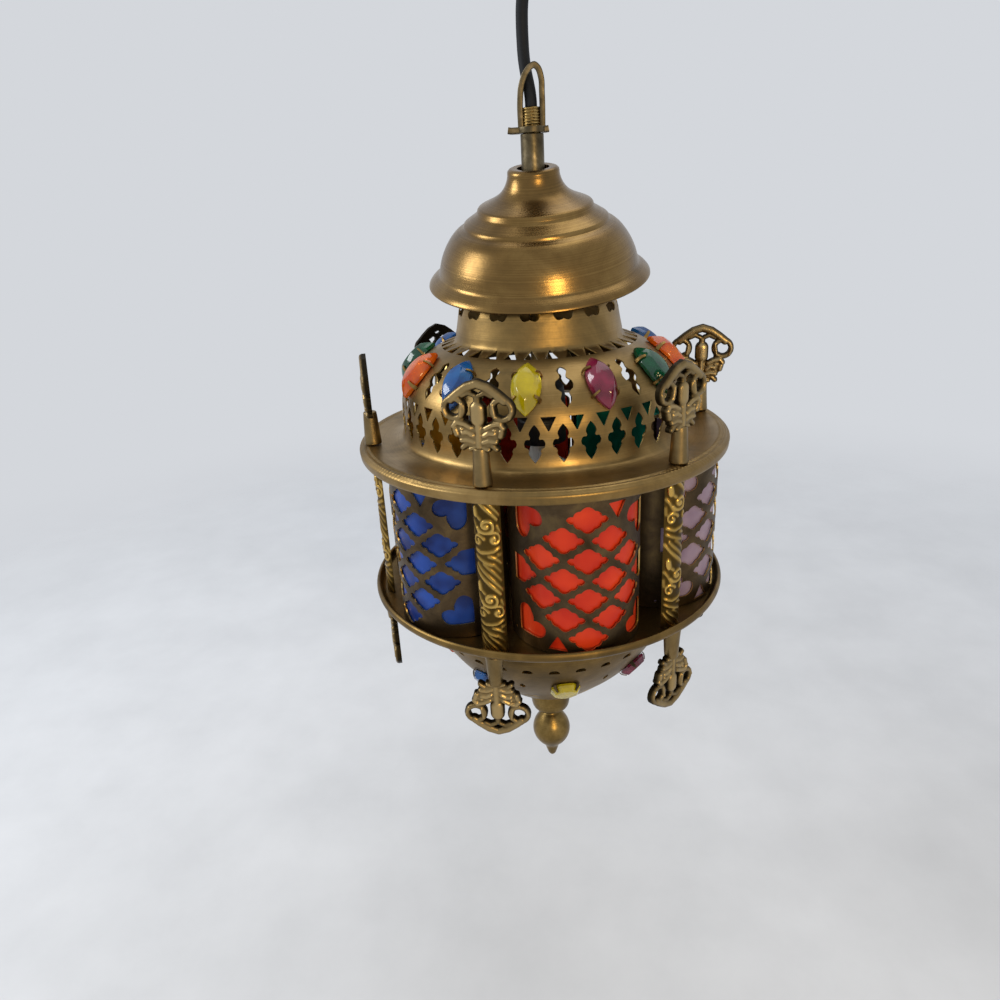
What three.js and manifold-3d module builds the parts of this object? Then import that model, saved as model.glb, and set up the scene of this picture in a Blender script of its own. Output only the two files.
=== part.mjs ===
import * as THREE from 'three';
import { mergeVertices } from 'three/addons/utils/BufferGeometryUtils.js';
import Module from 'manifold-3d';

const wasm = await Module();
wasm.setup();

// A pierced brass hanging lamp with coloured glass, in millimetres, +Z up.
// Heights are measured from the flat top of the round flange, and azimuths in degrees
// from the front (-Y) towards the right (+X). The whole lamp hangs from its ceiling face.

// General sizes
const ceilingHeight = 258;
const touchGap = 0.3;
const simplifyGap = 0.002;
const sheetWall = 1.2;
const bigSteps = 40;
const capSteps = 30;
const smallSteps = 16;
const cutReach = 3;

// Collar, shoulder and flange, spun from one sheet
const collarTop = 74;
const collarRadius = 41.5;
const collarLip = 5.5;
const shoulderTop = 52.6;
const flangeRadius = 105;
const flangeWidth = 26;
const flangeSkirt = 6.7;
const barWidth = 14;
const barThickness = 2;

// Bell cap, loose on the stem: it leans until its rim hangs just outside the collar
const capAboveCollar = 63.6;
const capRimClearance = 6.6;
const capLeanAzimuth = -5.5;
const capNeckRadius = 13.3;
const capRimRadius = 60.8;
const capHeight = 56.2;

// Lead, threaded stem and what is on it
const cordRadius = 3;
const cordGap = 0.75;
const stemRadius = 4.75;
const threadGap = 0.35;
const threadBore = stemRadius + threadGap;
const sleeveRadius = 5.9;
const sleeveAboveCap = 15.4;
const stemAboveSleeve = 12;
const stopNutRadius = 9;
const stopNutHeight = 5;
const barNutRadius = 8;
const barNutHeight = 3.9;
const washerRadius = 10.5;
const washerThickness = 1.2;
const washerGap = 0.45;
const capHoleGap = 3.3;

// Lobed lantern wall: each bay is an arc of flat facets, as wide as its sixth of the lamp allows
const bayCount = 6;
const firstBayAzimuth = 13;
const bayMargin = 5;
const bayEdgeAngle = 0.68;
const bayFacets = 9;
const paneFacets = 7;
const paneWall = 2;
const floorTop = -92;
const bayFacetAngle = 22.5;
const latticePitch = 21.65;
const latticeColumn = 12.05;
const latticeDrop = 3.6;
const heartAcross = 31.1;
const heartUp = 27.6;

// Columns and cast ornaments
const ornamentMargin = 8.1;
const columnWidth = 14;
const columnDepth = 5;
const stemFootRadius = 4.8;
const stemNeckRadius = 3.9;
const ornamentStem = 17.5;
const ornamentPlate = 3;

// Glass stones and pierced patterns of the shoulder
const stoneCount = 12;
const firstStoneAzimuth = -5.5;
const stoneLength = 28;
const stoneWidth = 14.5;
const stoneHeight = 6.5;
const stoneSeat = 0.9;
const bandCount = 36;
const bandFirstAzimuth = -3.5;
const moonCount = 16;

// Lower plate, bowl and finial
const plateOpening = 54;
const bowlTopRadius = 75.4;
const bowlDepth = 88.9;
const bowlMoonCount = 20;
const bowlLeafCount = 8;
const finialCupRadius = 12.6;
const finialCupHeight = 15.2;
const finialBallRadius = 12.6;
const finialSpike = 22.4;
const studRadius = 3;
const studGap = 0.5;

// Ceiling fitting, lampholder and bulb
const roseRadius = 40;
const rosePlate = 3;
const gripRadius = 7.5;
const gripLength = 25;
const holderBelowBar = 38.3;
const holderRadius = 14;
const holderHeight = 36;
const socketRadius = 7.1;
const socketDepth = 26;
const bulbCapGap = 0.4;
const bulbRadius = 22.5;
const bulbLength = 80;

// The lead's route from the stem's mouth to the cord grip
const cordRoute = [
  [0, 0, 165.3], [0, 0, 167], [-0.15, 0.22, 169.5], [-0.5, 0.75, 172.5], [-1, 1.55, 175.5],
  [-1.6, 2.5, 178.5], [-2.1, 3.4, 181.5], [-2.5, 4.2, 184.5], [-2.8, 4.85, 187.5], [-3, 5.35, 191],
  [-3.1, 5.6, 195], [-3.15, 5.5, 199], [-3.1, 5.1, 203], [-2.95, 4.4, 207], [-2.55, 3.4, 211],
  [-1.9, 2.35, 215], [-1.15, 1.3, 219], [-0.4, 0.45, 223], [0, 0, 227], [0, 0, 229.7],
];

const radians = THREE.MathUtils.degToRad;
const share = THREE.MathUtils.lerp;

// One closed solid for cutting and joining, from a three.js geometry
function solidFrom(geometry) {
  const bare = geometry.clone();
  bare.deleteAttribute('normal');
  bare.deleteAttribute('uv');
  const merged = mergeVertices(bare, 1e-5);
  const kept = [];
  const index = merged.index.array;
  for (let i = 0; i < index.length; i += 3) {
    const [a, b, c] = [index[i], index[i + 1], index[i + 2]];
    if (a !== b && b !== c && c !== a) {
      kept.push(a, b, c);
    }
  }
  const mesh = new wasm.Mesh({
    numProp: 3,
    vertProperties: new Float32Array(merged.attributes.position.array),
    triVerts: new Uint32Array(kept),
  });
  return new wasm.Manifold(mesh);
}

// The three.js geometry of a solid
function geometryFrom(solid) {
  const mesh = solid.getMesh();
  const geometry = new THREE.BufferGeometry();
  geometry.setAttribute('position', new THREE.BufferAttribute(mesh.vertProperties, 3));
  geometry.setIndex(new THREE.BufferAttribute(mesh.triVerts, 1));
  geometry.computeVertexNormals();
  return geometry;
}

function cut(geometry, tools) {
  let solid = solidFrom(geometry);
  for (const tool of tools) {
    solid = solid.subtract(solidFrom(tool));
  }
  return geometryFrom(solid.asOriginal().simplify(simplifyGap));
}

function join(geometries) {
  let solid = solidFrom(geometries[0]);
  for (const geometry of geometries.slice(1)) {
    solid = solid.add(solidFrom(geometry));
  }
  return geometryFrom(solid);
}

// A turned body about Z. The profile is a list of [radius, height] that closes on itself or on the axis.
function turned(profile, steps, firstAzimuth = 0) {
  let area = 0;
  profile.forEach(([r, z], i) => {
    const [nextR, nextZ] = profile[(i + 1) % profile.length];
    area += r * nextZ - nextR * z;
  });
  const points = profile.map(([r, z]) => new THREE.Vector2(r, z));
  const onAxis = profile[0][0] === 0 && profile[profile.length - 1][0] === 0;
  if (!onAxis) {
    points.push(points[0].clone());
  }
  if (area < 0) {
    points.reverse();
  }
  return new THREE.LatheGeometry(points, steps, radians(firstAzimuth)).rotateX(Math.PI / 2);
}

// The inner side of a spun sheet: each point of its outer side moved in by the wall
function inward(profile, wall) {
  return profile.map(([r, z], i) => {
    const [beforeR, beforeZ] = profile[Math.max(i - 1, 0)];
    const [afterR, afterZ] = profile[Math.min(i + 1, profile.length - 1)];
    const length = Math.hypot(afterR - beforeR, afterZ - beforeZ);
    return [r + (wall * (afterZ - beforeZ)) / length, z - (wall * (afterR - beforeR)) / length];
  });
}

function ring(innerRadius, outerRadius, bottom, top, steps = smallSteps) {
  const profile = [[innerRadius, bottom], [outerRadius, bottom], [outerRadius, top], [innerRadius, top]];
  return turned(profile, steps);
}

// An upright rod about Z, its middle at the origin
function rod(radius, height, steps = smallSteps) {
  return new THREE.CylinderGeometry(radius, radius, height, steps).rotateX(Math.PI / 2);
}

function hexNut(radius, boreRadius, bottom, height) {
  return cut(rod(radius, height, 6), [rod(boreRadius, height + 2)]).translate(0, 0, bottom + height / 2);
}

// A closed body in layers above a curved sheet. The outline is star-shaped about its origin and
// counterclockwise seen from outside, each layer is [scale of the outline, level], and
// place(u, v, level) gives a point in space.
function domeOn(outline, place, layers) {
  const count = outline.length;
  const [lowLevel, highLevel] = [layers[0][1], layers[layers.length - 1][1]];
  const points = [];
  const index = [];
  layers.forEach(([scale, level], layer) => {
    points.push(...outline.map(([u, v]) => place(scale * u, scale * v, level)));
    for (let i = 0; i < count && layer > 0; i += 1) {
      const [here, next] = [layer * count + i, layer * count + ((i + 1) % count)];
      index.push(here - count, next - count, next, here - count, next, here);
    }
  });
  points.push(place(0, 0, lowLevel), place(0, 0, highLevel));
  const lowCentre = layers.length * count;
  const highStart = lowCentre - count;
  for (let i = 0; i < count; i += 1) {
    const next = (i + 1) % count;
    index.push(lowCentre, next, i, lowCentre + 1, highStart + i, highStart + next);
  }
  const geometry = new THREE.BufferGeometry();
  geometry.setAttribute('position', new THREE.Float32BufferAttribute(points.flat(), 3));
  geometry.setIndex(index);
  return geometry;
}

// Points on a turned sheet: along is the arc length down its outer side from the first point
function sheetMap(profile, azimuth, along) {
  return (u, v, level) => {
    let rest = along - v;
    let i = 0;
    let length = 0;
    for (; i < profile.length - 1; i += 1) {
      length = Math.hypot(profile[i + 1][0] - profile[i][0], profile[i + 1][1] - profile[i][1]);
      if (rest <= length || i === profile.length - 2) {
        break;
      }
      rest -= length;
    }
    const [r0, z0] = profile[i];
    const stepR = (profile[i + 1][0] - r0) / length;
    const stepZ = (profile[i + 1][1] - z0) / length;
    const sheetR = r0 + stepR * rest;
    const r = sheetR - stepZ * level;
    const z = z0 + stepZ * rest + stepR * level;
    const turn = radians(azimuth) + u / sheetR;
    return [r * Math.sin(turn), -r * Math.cos(turn), z];
  };
}

// A straight cutter through a sheet, square to it at the outline's middle
function cutterAt(outline, place) {
  const [middle, above, outside] = [place(0, 0, 0), place(0, 1, 0), place(0, 0, 1)].map(
    (point) => new THREE.Vector3(...point),
  );
  const normal = outside.sub(middle).normalize();
  const up = above.sub(middle).projectOnPlane(normal).normalize();
  const across = new THREE.Vector3().crossVectors(up, normal);
  const shape = new THREE.Shape(outline.map(([u, v]) => new THREE.Vector2(u, v)));
  const cutter = new THREE.ExtrudeGeometry(shape, { depth: 2 * cutReach, bevelEnabled: false });
  cutter.translate(0, 0, -cutReach);
  const frame = new THREE.Matrix4().makeBasis(across, up, normal).setPosition(middle);
  return cutter.applyMatrix4(frame);
}

// Cutters spaced evenly round a turned sheet
function round(count, firstAzimuth, profile, along, outline) {
  const tools = [];
  for (let i = 0; i < count; i += 1) {
    const azimuth = firstAzimuth + (i * 360) / count;
    tools.push(cutterAt(outline, sheetMap(profile, azimuth, along)));
  }
  return tools;
}

// Pierced outlines, each [across, up] about its middle
const bandFleur = [[0, -9.2], [4.2, 0], [0, 9.2], [-4.2, 0]];
const shoulderFleur = [[0, -10.7], [2.8, -2], [0, 10.7], [-2.8, -2]];
const collarMoon = [[-4.4, 2], [-2.4, -2.6], [2.4, -2.6], [4.4, 2]];
const bowlMoon = [[-4, -1.8], [4, -1.8], [2, 2], [-2, 2]];
const bowlLeaf = [[0, -4], [2.4, 0], [0, 4], [-2.4, 0]];
const latticeOgee = [[10.3, 0], [0, 7.5], [-10.3, 0], [0, -7.5]];
const latticeHeart = [[7.5, -7], [5.5, 8], [-1, 2], [-7.5, -3.5]];

// Ceiling plate with the cord grip below it
function ceilingRose() {
  const hubTop = ceilingHeight - rosePlate;
  const gripBottom = hubTop - gripLength;
  const profile = [
    [0, gripBottom], [gripRadius, gripBottom], [gripRadius, gripBottom + 8], [gripRadius + 5, hubTop - 5],
    [gripRadius + 12, hubTop], [roseRadius, hubTop], [roseRadius, ceilingHeight], [0, ceilingHeight],
  ];
  return turned(profile, bigSteps / 2);
}

// The round lead swept along its route
function flexCord() {
  const curve = new THREE.CatmullRomCurve3(cordRoute.map((point) => new THREE.Vector3(...point)));
  const section = new THREE.Shape();
  const sides = 8;
  for (let i = 0; i < sides; i += 1) {
    const turn = (i * 2 * Math.PI) / sides;
    const [x, y] = [cordRadius * Math.cos(turn), cordRadius * Math.sin(turn)];
    if (i === 0) {
      section.moveTo(x, y);
    } else {
      section.lineTo(x, y);
    }
  }
  return new THREE.ExtrudeGeometry(section, { steps: cordRoute.length - 1, extrudePath: curve });
}

// Heights that follow from the collar: the cap's pivot, the sleeve, the stem and what hangs in the collar
const capPivotHeight = collarTop + capAboveCollar;
const sleeveTop = capPivotHeight + sleeveAboveCap;
const stemTop = sleeveTop + stemAboveSleeve;
const barBottom = collarTop - sheetWall - touchGap - barThickness;
const barNutBottom = barBottom - touchGap - barNutHeight;
const holderTop = barNutBottom - holderBelowBar;
const stemBottom = holderTop - 6;

function innerFlex() {
  const length = stemTop - stemBottom;
  return rod(cordRadius, length, 8).translate(0, 0, stemBottom + length / 2);
}

// The loop: an eye plate on the stem with two turned-out feet and a pointed strap that leans forward
const loopPlate = 2.4;
const loopFoot = sleeveTop + touchGap;
function hangingLoop() {
  const strap = 1.7;
  const strapWidth = 3.2;
  const leanForward = 6;
  const outer = [
    [-6.9, 0], [-6.8, 12], [-5.8, 19], [-2.6, 25.4], [1, 28.6], [2.8, 29], [5, 27.4], [6.7, 22.5],
    [7, 15], [6.9, 0],
  ];
  const inner = inward(outer, strap);
  inner[0][1] = outer[0][1];
  inner[inner.length - 1][1] = outer[0][1];
  const band = new THREE.Shape([...outer, ...inner.reverse()].map(([x, y]) => new THREE.Vector2(x, y)));
  const arch = new THREE.ExtrudeGeometry(band, { depth: strapWidth, bevelEnabled: false });
  arch.translate(0, 0, -strapWidth / 2).rotateX(Math.PI / 2 + radians(leanForward));
  arch.translate(0, 0, loopFoot + loopPlate - 0.4);
  const plateMiddle = loopFoot + loopPlate / 2;
  const eye = rod(7, loopPlate, 12).translate(0, 0, plateMiddle);
  const feet = new THREE.BoxGeometry(20.5, 5.6, loopPlate).translate(-1.75, 0, plateMiddle);
  const bore = rod(threadBore, 3 * loopPlate).translate(0, 0, plateMiddle);
  return cut(join([arch, eye, feet]), [bore]);
}

// Bell cap in its own frame, the neck's top at the origin: a flat neck, two steps, a round bell and a
// flared lip. Each shape point is a share of the way from neck to rim and a share of the height.
const capHoleRadius = sleeveRadius + capHoleGap;
function bellCap() {
  const shape = [
    [0.021, 0.11], [0.109, 0.214], [0.343, 0.313], [0.377, 0.359], [0.524, 0.45], [0.667, 0.546],
    [0.794, 0.703], [0.861, 0.872], [1, 0.984],
  ];
  const outer = [[capHoleRadius, 0], [capNeckRadius, 0]];
  for (const [outwards, down] of shape) {
    outer.push([share(capNeckRadius, capRimRadius, outwards), -down * capHeight]);
  }
  const inner = inward(outer, sheetWall).reverse();
  inner[inner.length - 1][0] = capHoleRadius;
  return turned([...outer, [capRimRadius - 0.8, -capHeight], ...inner], capSteps);
}

const shoulderRadius = flangeRadius - flangeWidth;
const collarFoot = collarRadius + 4.7;
const shoulderOuter = [
  [collarRadius - collarLip, collarTop], [collarRadius, collarTop],
  [collarRadius + 3.3, share(shoulderTop, collarTop, 0.35)], [collarFoot, shoulderTop],
  [share(collarFoot, shoulderRadius, 0.207), 0.962 * shoulderTop],
  [share(collarFoot, shoulderRadius, 0.512), 0.863 * shoulderTop],
  [share(collarFoot, shoulderRadius, 0.774), 0.722 * shoulderTop],
  [share(collarFoot, shoulderRadius, 0.951), 0.525 * shoulderTop],
  [shoulderRadius + 0.2, 3.6], [shoulderRadius + 4.5, 0], [flangeRadius - 1.6, 0],
  [flangeRadius, -2.4], [flangeRadius - 0.8, -flangeSkirt],
];

function topShoulder() {
  const inner = inward(shoulderOuter, sheetWall).reverse();
  inner[0][1] = -flangeSkirt;
  inner[inner.length - 1][0] = collarRadius - collarLip;
  const fleurAzimuth = firstStoneAzimuth + 180 / stoneCount;
  const sheet = turned([...shoulderOuter, ...inner], bigSteps, firstStoneAzimuth);
  return cut(sheet, [
    ...round(moonCount, firstStoneAzimuth, shoulderOuter, collarLip + 5, collarMoon),
    ...round(stoneCount, fleurAzimuth, shoulderOuter, collarLip + 47.5, shoulderFleur),
    ...round(bandCount, bandFirstAzimuth, shoulderOuter, collarLip + 76.6, bandFleur),
  ]);
}

// One pointed cabochon that follows the shoulder's curve
function topStone(azimuth) {
  const half = [stoneWidth / 2, stoneLength / 2];
  const outline = [
    [0, -half[1]], [0.62 * half[0], -0.62 * half[1]], [half[0], 0], [0.62 * half[0], 0.62 * half[1]],
    [0, half[1]], [-0.62 * half[0], 0.62 * half[1]], [-half[0], 0], [-0.62 * half[0], -0.62 * half[1]],
  ];
  const place = sheetMap(shoulderOuter, azimuth, collarLip + 49.3);
  return domeOn(outline, place, [[1, stoneSeat], [1, stoneSeat + 1.6], [0.62, stoneHeight]]);
}

function crossBar() {
  const halfLength = collarRadius - sheetWall - 1.3;
  const bar = new THREE.BoxGeometry(2 * halfLength, barWidth, barThickness);
  return cut(bar, [rod(threadBore, 2 * barThickness)]).translate(0, 0, barBottom + barThickness / 2);
}

function lampholder() {
  const bottom = holderTop - holderHeight;
  const profile = [
    [threadBore, holderTop], [holderRadius - 5, holderTop], [holderRadius - 1, holderTop - 4],
    [holderRadius, holderTop - 10], [holderRadius, bottom], [socketRadius, bottom],
    [socketRadius, bottom + socketDepth], [threadBore, bottom + socketDepth],
  ];
  return turned(profile, smallSteps);
}

// Round bulb hanging cap-up in the lampholder
function bulb() {
  const capTop = holderTop - holderHeight + socketDepth - touchGap;
  const centre = capTop - bulbLength + bulbRadius;
  const capRadius = socketRadius - bulbCapGap;
  const profile = [[0, capTop], [3, capTop], [capRadius, capTop - 3], [capRadius, capTop - socketDepth]];
  const neckAngle = 28;
  const arcSteps = 6;
  for (let i = 0; i <= arcSteps; i += 1) {
    const turn = radians(neckAngle + ((180 - neckAngle) * i) / arcSteps);
    profile.push([i === arcSteps ? 0 : bulbRadius * Math.sin(turn), centre + bulbRadius * Math.cos(turn)]);
  }
  return turned(profile, smallSteps);
}

// The bays stand between the flange's underside and the floor of the lower plate. Each arc reaches out
// to the bay margin, and its edges stop a little short of the line to the next bay.
const wallBottom = floorTop + touchGap;
const wallTop = -sheetWall - touchGap;
const wallMiddle = (wallBottom + wallTop) / 2;
const ornamentCircle = flangeRadius - ornamentMargin;
const baySpread = radians((bayFacetAngle * bayFacets) / 2);
const edgeSlope = Math.tan(radians(180 / bayCount - bayEdgeAngle));
const bayReach = flangeRadius - bayMargin;
const bayRadius = (bayReach * edgeSlope) / (Math.sin(baySpread) + edgeSlope * (1 - Math.cos(baySpread)));
const bayCentre = bayReach - bayRadius;

function arcBand(radius, wall, facets) {
  const points = [];
  for (const [r, direction] of [[radius, 1], [radius - wall, -1]]) {
    for (let i = 0; i <= facets; i += 1) {
      const turn = radians(direction * bayFacetAngle * (i - facets / 2));
      points.push(new THREE.Vector2(r * Math.sin(turn), -bayCentre - r * Math.cos(turn)));
    }
  }
  const band = new THREE.Shape(points);
  const depth = wallTop - wallBottom;
  return new THREE.ExtrudeGeometry(band, { depth, bevelEnabled: false }).translate(0, 0, wallBottom);
}

function bayHole(outline, across, up, mirror = [1, 1]) {
  const drawn = outline.map(([u, v]) => [u * mirror[0], v * mirror[1]]);
  if (mirror[0] * mirror[1] < 0) {
    drawn.reverse();
  }
  const place = (u, v, level) => {
    const turn = (across + u) / bayRadius;
    const r = bayRadius + level;
    return [r * Math.sin(turn), -bayCentre - r * Math.cos(turn), wallMiddle - latticeDrop + up + v];
  };
  return cutterAt(drawn, place);
}

// Ogee lattice: four holes in the middle column, then three, two and one to each side, hearts in the corners
function bayPanel() {
  const holes = [];
  for (const [column, count] of [[-3, 1], [-2, 2], [-1, 3], [0, 4], [1, 3], [2, 2], [3, 1]]) {
    for (let i = 0; i < count; i += 1) {
      holes.push(bayHole(latticeOgee, column * latticeColumn, (i - (count - 1) / 2) * latticePitch));
    }
  }
  for (const side of [-1, 1]) {
    for (const end of [-1, 1]) {
      holes.push(bayHole(latticeHeart, side * heartAcross, end * heartUp, [side, -end]));
    }
  }
  return cut(arcBand(bayRadius, sheetWall, bayFacets), holes);
}

function bayPane() {
  return arcBand(bayRadius - sheetWall - touchGap, paneWall, paneFacets);
}

// Half-round strip, open at its back, that stands in the valley between two bays
function columnStrip() {
  const half = columnWidth / 2;
  const outer = [];
  const inner = [];
  for (const part of [0, 0.25, 0.5, 0.75, 1]) {
    const turn = Math.PI * part;
    const [across, out] = [Math.cos(turn), -Math.sin(turn)];
    outer.push(new THREE.Vector2(half * across, columnDepth * out));
    inner.push(new THREE.Vector2((half - sheetWall) * across, (columnDepth - sheetWall) * out));
  }
  const band = new THREE.Shape([...outer, ...inner.reverse()]);
  const strip = new THREE.ExtrudeGeometry(band, { depth: wallTop - wallBottom, bevelEnabled: false });
  return strip.translate(0, columnDepth / 2 - ornamentCircle, wallBottom);
}

// Cast ornament standing on its conical stem, relief towards -Y
function castOrnament() {
  const outline = [
    [0, 15.5], [9, 17.6], [13.4, 23], [18, 36], [15.4, 42.4], [7, 48.2], [0, 52.3],
    [-7, 48.2], [-15.4, 42.4], [-18, 36], [-13.4, 23], [-9, 17.6],
  ];
  const plate = new THREE.Shape(outline.map(([x, y]) => new THREE.Vector2(x, y)));
  const eyeRadius = 2.9;
  for (const side of [-1, 1]) {
    const eye = new THREE.Path();
    const eyeSteps = 5;
    for (let i = 0; i <= eyeSteps; i += 1) {
      const turn = (i * 2 * Math.PI) / eyeSteps;
      const [x, y] = [side * 12.3 + eyeRadius * Math.cos(turn), 37.4 + eyeRadius * Math.sin(turn)];
      if (i === 0) {
        eye.moveTo(x, y);
      } else {
        eye.lineTo(x, y);
      }
    }
    plate.holes.push(eye);
    const slot = [[4.2, 30.6], [7.4, 36], [4.8, 41.5]];
    plate.holes.push(new THREE.Path(slot.map(([x, y]) => new THREE.Vector2(side * x, y))));
  }
  const peak = [[-3, 44.4], [3, 44.4], [0.3, 48.6]];
  plate.holes.push(new THREE.Path(peak.map(([x, y]) => new THREE.Vector2(x, y))));
  const lace = new THREE.ExtrudeGeometry(plate, { depth: ornamentPlate, bevelEnabled: false });
  lace.rotateX(Math.PI / 2).translate(0, ornamentPlate / 2, 0);
  const stem = new THREE.CylinderGeometry(stemNeckRadius, stemFootRadius, ornamentStem, 6);
  stem.rotateX(Math.PI / 2).translate(0, 0, ornamentStem / 2 + touchGap);
  const boss = new THREE.SphereGeometry(1, 6, 4).scale(3.3, 2.6, 6).translate(0, -ornamentPlate / 2, 36.5);
  return join([lace, stem, boss]);
}

// Lower plate: a flat floor with a wide opening and an upturned rolled rim
function bottomPlate() {
  const rim = flangeRadius;
  const under = floorTop - sheetWall;
  const profile = [
    [plateOpening, under], [rim - 5, under], [rim, under + 3.4], [rim - 1.8, under + 6.6],
    [rim - 3.4, under + 4], [rim - 4.4, floorTop], [plateOpening, floorTop],
  ];
  return turned(profile, bigSteps);
}

// The bowl's shape points are shares of its top radius and of its depth
const bowlLip = floorTop - sheetWall - touchGap;
const bowlBottom = bowlLip - bowlDepth;
const bowlHole = studRadius + studGap;
const bowlOuter = [
  [bowlTopRadius + 1.6, bowlLip], [bowlTopRadius + 1.6, bowlLip - sheetWall], [bowlTopRadius, bowlLip - 1.4],
];
const bowlShape = [[0.987, 0.186], [0.919, 0.366], [0.782, 0.546], [0.584, 0.72], [0.318, 0.91]];
for (const [outwards, down] of bowlShape) {
  bowlOuter.push([outwards * bowlTopRadius, bowlLip - down * bowlDepth]);
}
bowlOuter.push([finialCupRadius - 0.6, bowlBottom], [bowlHole, bowlBottom]);

function bottomBowl() {
  const wall = bowlOuter.slice(2);
  const inner = inward(wall, sheetWall).reverse();
  inner[0][0] = bowlHole;
  inner[inner.length - 1] = [bowlTopRadius - sheetWall, bowlLip];
  const sheet = turned([...bowlOuter, ...inner], bigSteps);
  return cut(sheet, [
    ...round(bowlMoonCount, 0, bowlOuter, 27, bowlMoon),
    ...round(bowlLeafCount, 30.5, bowlOuter, 60, bowlLeaf),
  ]);
}

// Turned finial: a cup against the bowl, a ball and a spike, with its stud up through the bowl
function finial() {
  const top = bowlBottom - touchGap;
  const cupBottom = top - finialCupHeight;
  const neckBottom = cupBottom - 2.2;
  const ballRise = 1.12 * finialBallRadius;
  const ballCentre = neckBottom - 1.06 * finialBallRadius - 2.1;
  const studTop = bowlBottom + 7.5;
  const profile = [
    [0, studTop], [studRadius, studTop], [studRadius, top], [finialCupRadius, top],
    [finialCupRadius, cupBottom + 4.6], [finialCupRadius - 1.4, cupBottom + 1.1], [5.2, cupBottom],
    [5, neckBottom],
  ];
  const arcSteps = 6;
  const [firstAngle, lastAngle] = [30, 152];
  for (let i = 0; i <= arcSteps; i += 1) {
    const turn = radians(firstAngle + ((lastAngle - firstAngle) * i) / arcSteps);
    profile.push([finialBallRadius * Math.sin(turn), ballCentre + ballRise * Math.cos(turn)]);
  }
  const tip = ballCentre - finialSpike;
  profile.push([3.6, tip + 8.5], [0, tip]);
  return turned(profile, smallSteps);
}

function finialNut() {
  return hexNut(7, studRadius + threadGap, bowlBottom + sheetWall + touchGap, 3.6);
}

const brass = { color: 0x9a7440, roughness: 0.38, metalness: 1 };
const darkBrass = { color: 0x5c4a2e, roughness: 0.5, metalness: 1 };
const castBrass = { color: 0x7d6a45, roughness: 0.52, metalness: 1 };
const brightBrass = { color: 0xb38a3e, roughness: 0.34, metalness: 1 };
const blackPlastic = { color: 0x1b1b1d, roughness: 0.55, metalness: 0 };
const bulbGlass = { color: 0xf4f1e6, roughness: 0.2, metalness: 0 };
const bayColours = [0xd8351c, 0xa08ab0, 0x178a76, 0xd8351c, 0xc8942a, 0x24408c];
const stoneColours = [
  0xd6c11c, 0x9c3450, 0x1f6b3e, 0xd8641e, 0x2d68b8, 0xd6c11c, 0x9c3450, 0x1f6b3e, 0x2d68b8, 0x1f6b3e,
  0xd8641e, 0x2d68b8,
];
const stoneGlass = { roughness: 0.12, metalness: 0 };

function piece(name, geometry, finish) {
  const mesh = new THREE.Mesh(geometry, new THREE.MeshStandardMaterial(finish));
  mesh.name = name;
  return mesh;
}

const lamp = new THREE.Group();
lamp.position.z = -ceilingHeight;

lamp.add(piece('ceiling_rose', ceilingRose(), brass));
lamp.add(piece('flex_cord', flexCord(), blackPlastic));
lamp.add(piece('inner_flex', innerFlex(), blackPlastic));
lamp.add(piece('hanging_loop', hangingLoop(), darkBrass));

// The cap's lean in radians, at which its rim passes the collar at the rim clearance
const capLean = Math.acos((collarRadius + capRimClearance) / Math.hypot(capRimRadius, capHeight))
  - Math.atan2(capHeight, capRimRadius);
const neckUnderside = sheetWall / Math.cos(capLean) + washerRadius * Math.tan(capLean);
const washerTop = capPivotHeight - neckUnderside - touchGap;
const washerBottom = washerTop - washerThickness;
const stopNutTop = washerBottom - touchGap;
const stopNutBottom = stopNutTop - stopNutHeight;
lamp.add(piece('threaded_stem', ring(cordRadius + cordGap, stemRadius, stemBottom, stemTop), darkBrass));
lamp.add(piece('stem_sleeve', ring(threadBore, sleeveRadius, stopNutTop + touchGap, sleeveTop), brass));
lamp.add(piece('cap_stop_nut', hexNut(stopNutRadius, threadBore, stopNutBottom, stopNutHeight), brass));
lamp.add(piece('cap_washer', ring(sleeveRadius + washerGap, washerRadius, washerBottom, washerTop), brass));
lamp.add(piece('bar_nut', hexNut(barNutRadius, threadBore, barNutBottom, barNutHeight), brass));

// The cap hangs canted on the stem, its front edge low
const leaningCap = piece('bell_cap', bellCap(), brass);
leaningCap.rotation.x = capLean;
const capPlace = new THREE.Group();
capPlace.rotation.z = radians(capLeanAzimuth);
capPlace.position.z = capPivotHeight;
capPlace.add(leaningCap);
lamp.add(capPlace);

lamp.add(piece('top_shoulder', topShoulder(), brass));
lamp.add(piece('cross_bar', crossBar(), darkBrass));
lamp.add(piece('lampholder', lampholder(), blackPlastic));
lamp.add(piece('bulb', bulb(), bulbGlass));

for (let i = 0; i < stoneCount; i += 1) {
  const azimuth = firstStoneAzimuth + (i * 360) / stoneCount;
  const color = stoneColours[i % stoneColours.length];
  lamp.add(piece(`top_stone_${i + 1}`, topStone(azimuth), { color, ...stoneGlass }));
}

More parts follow.
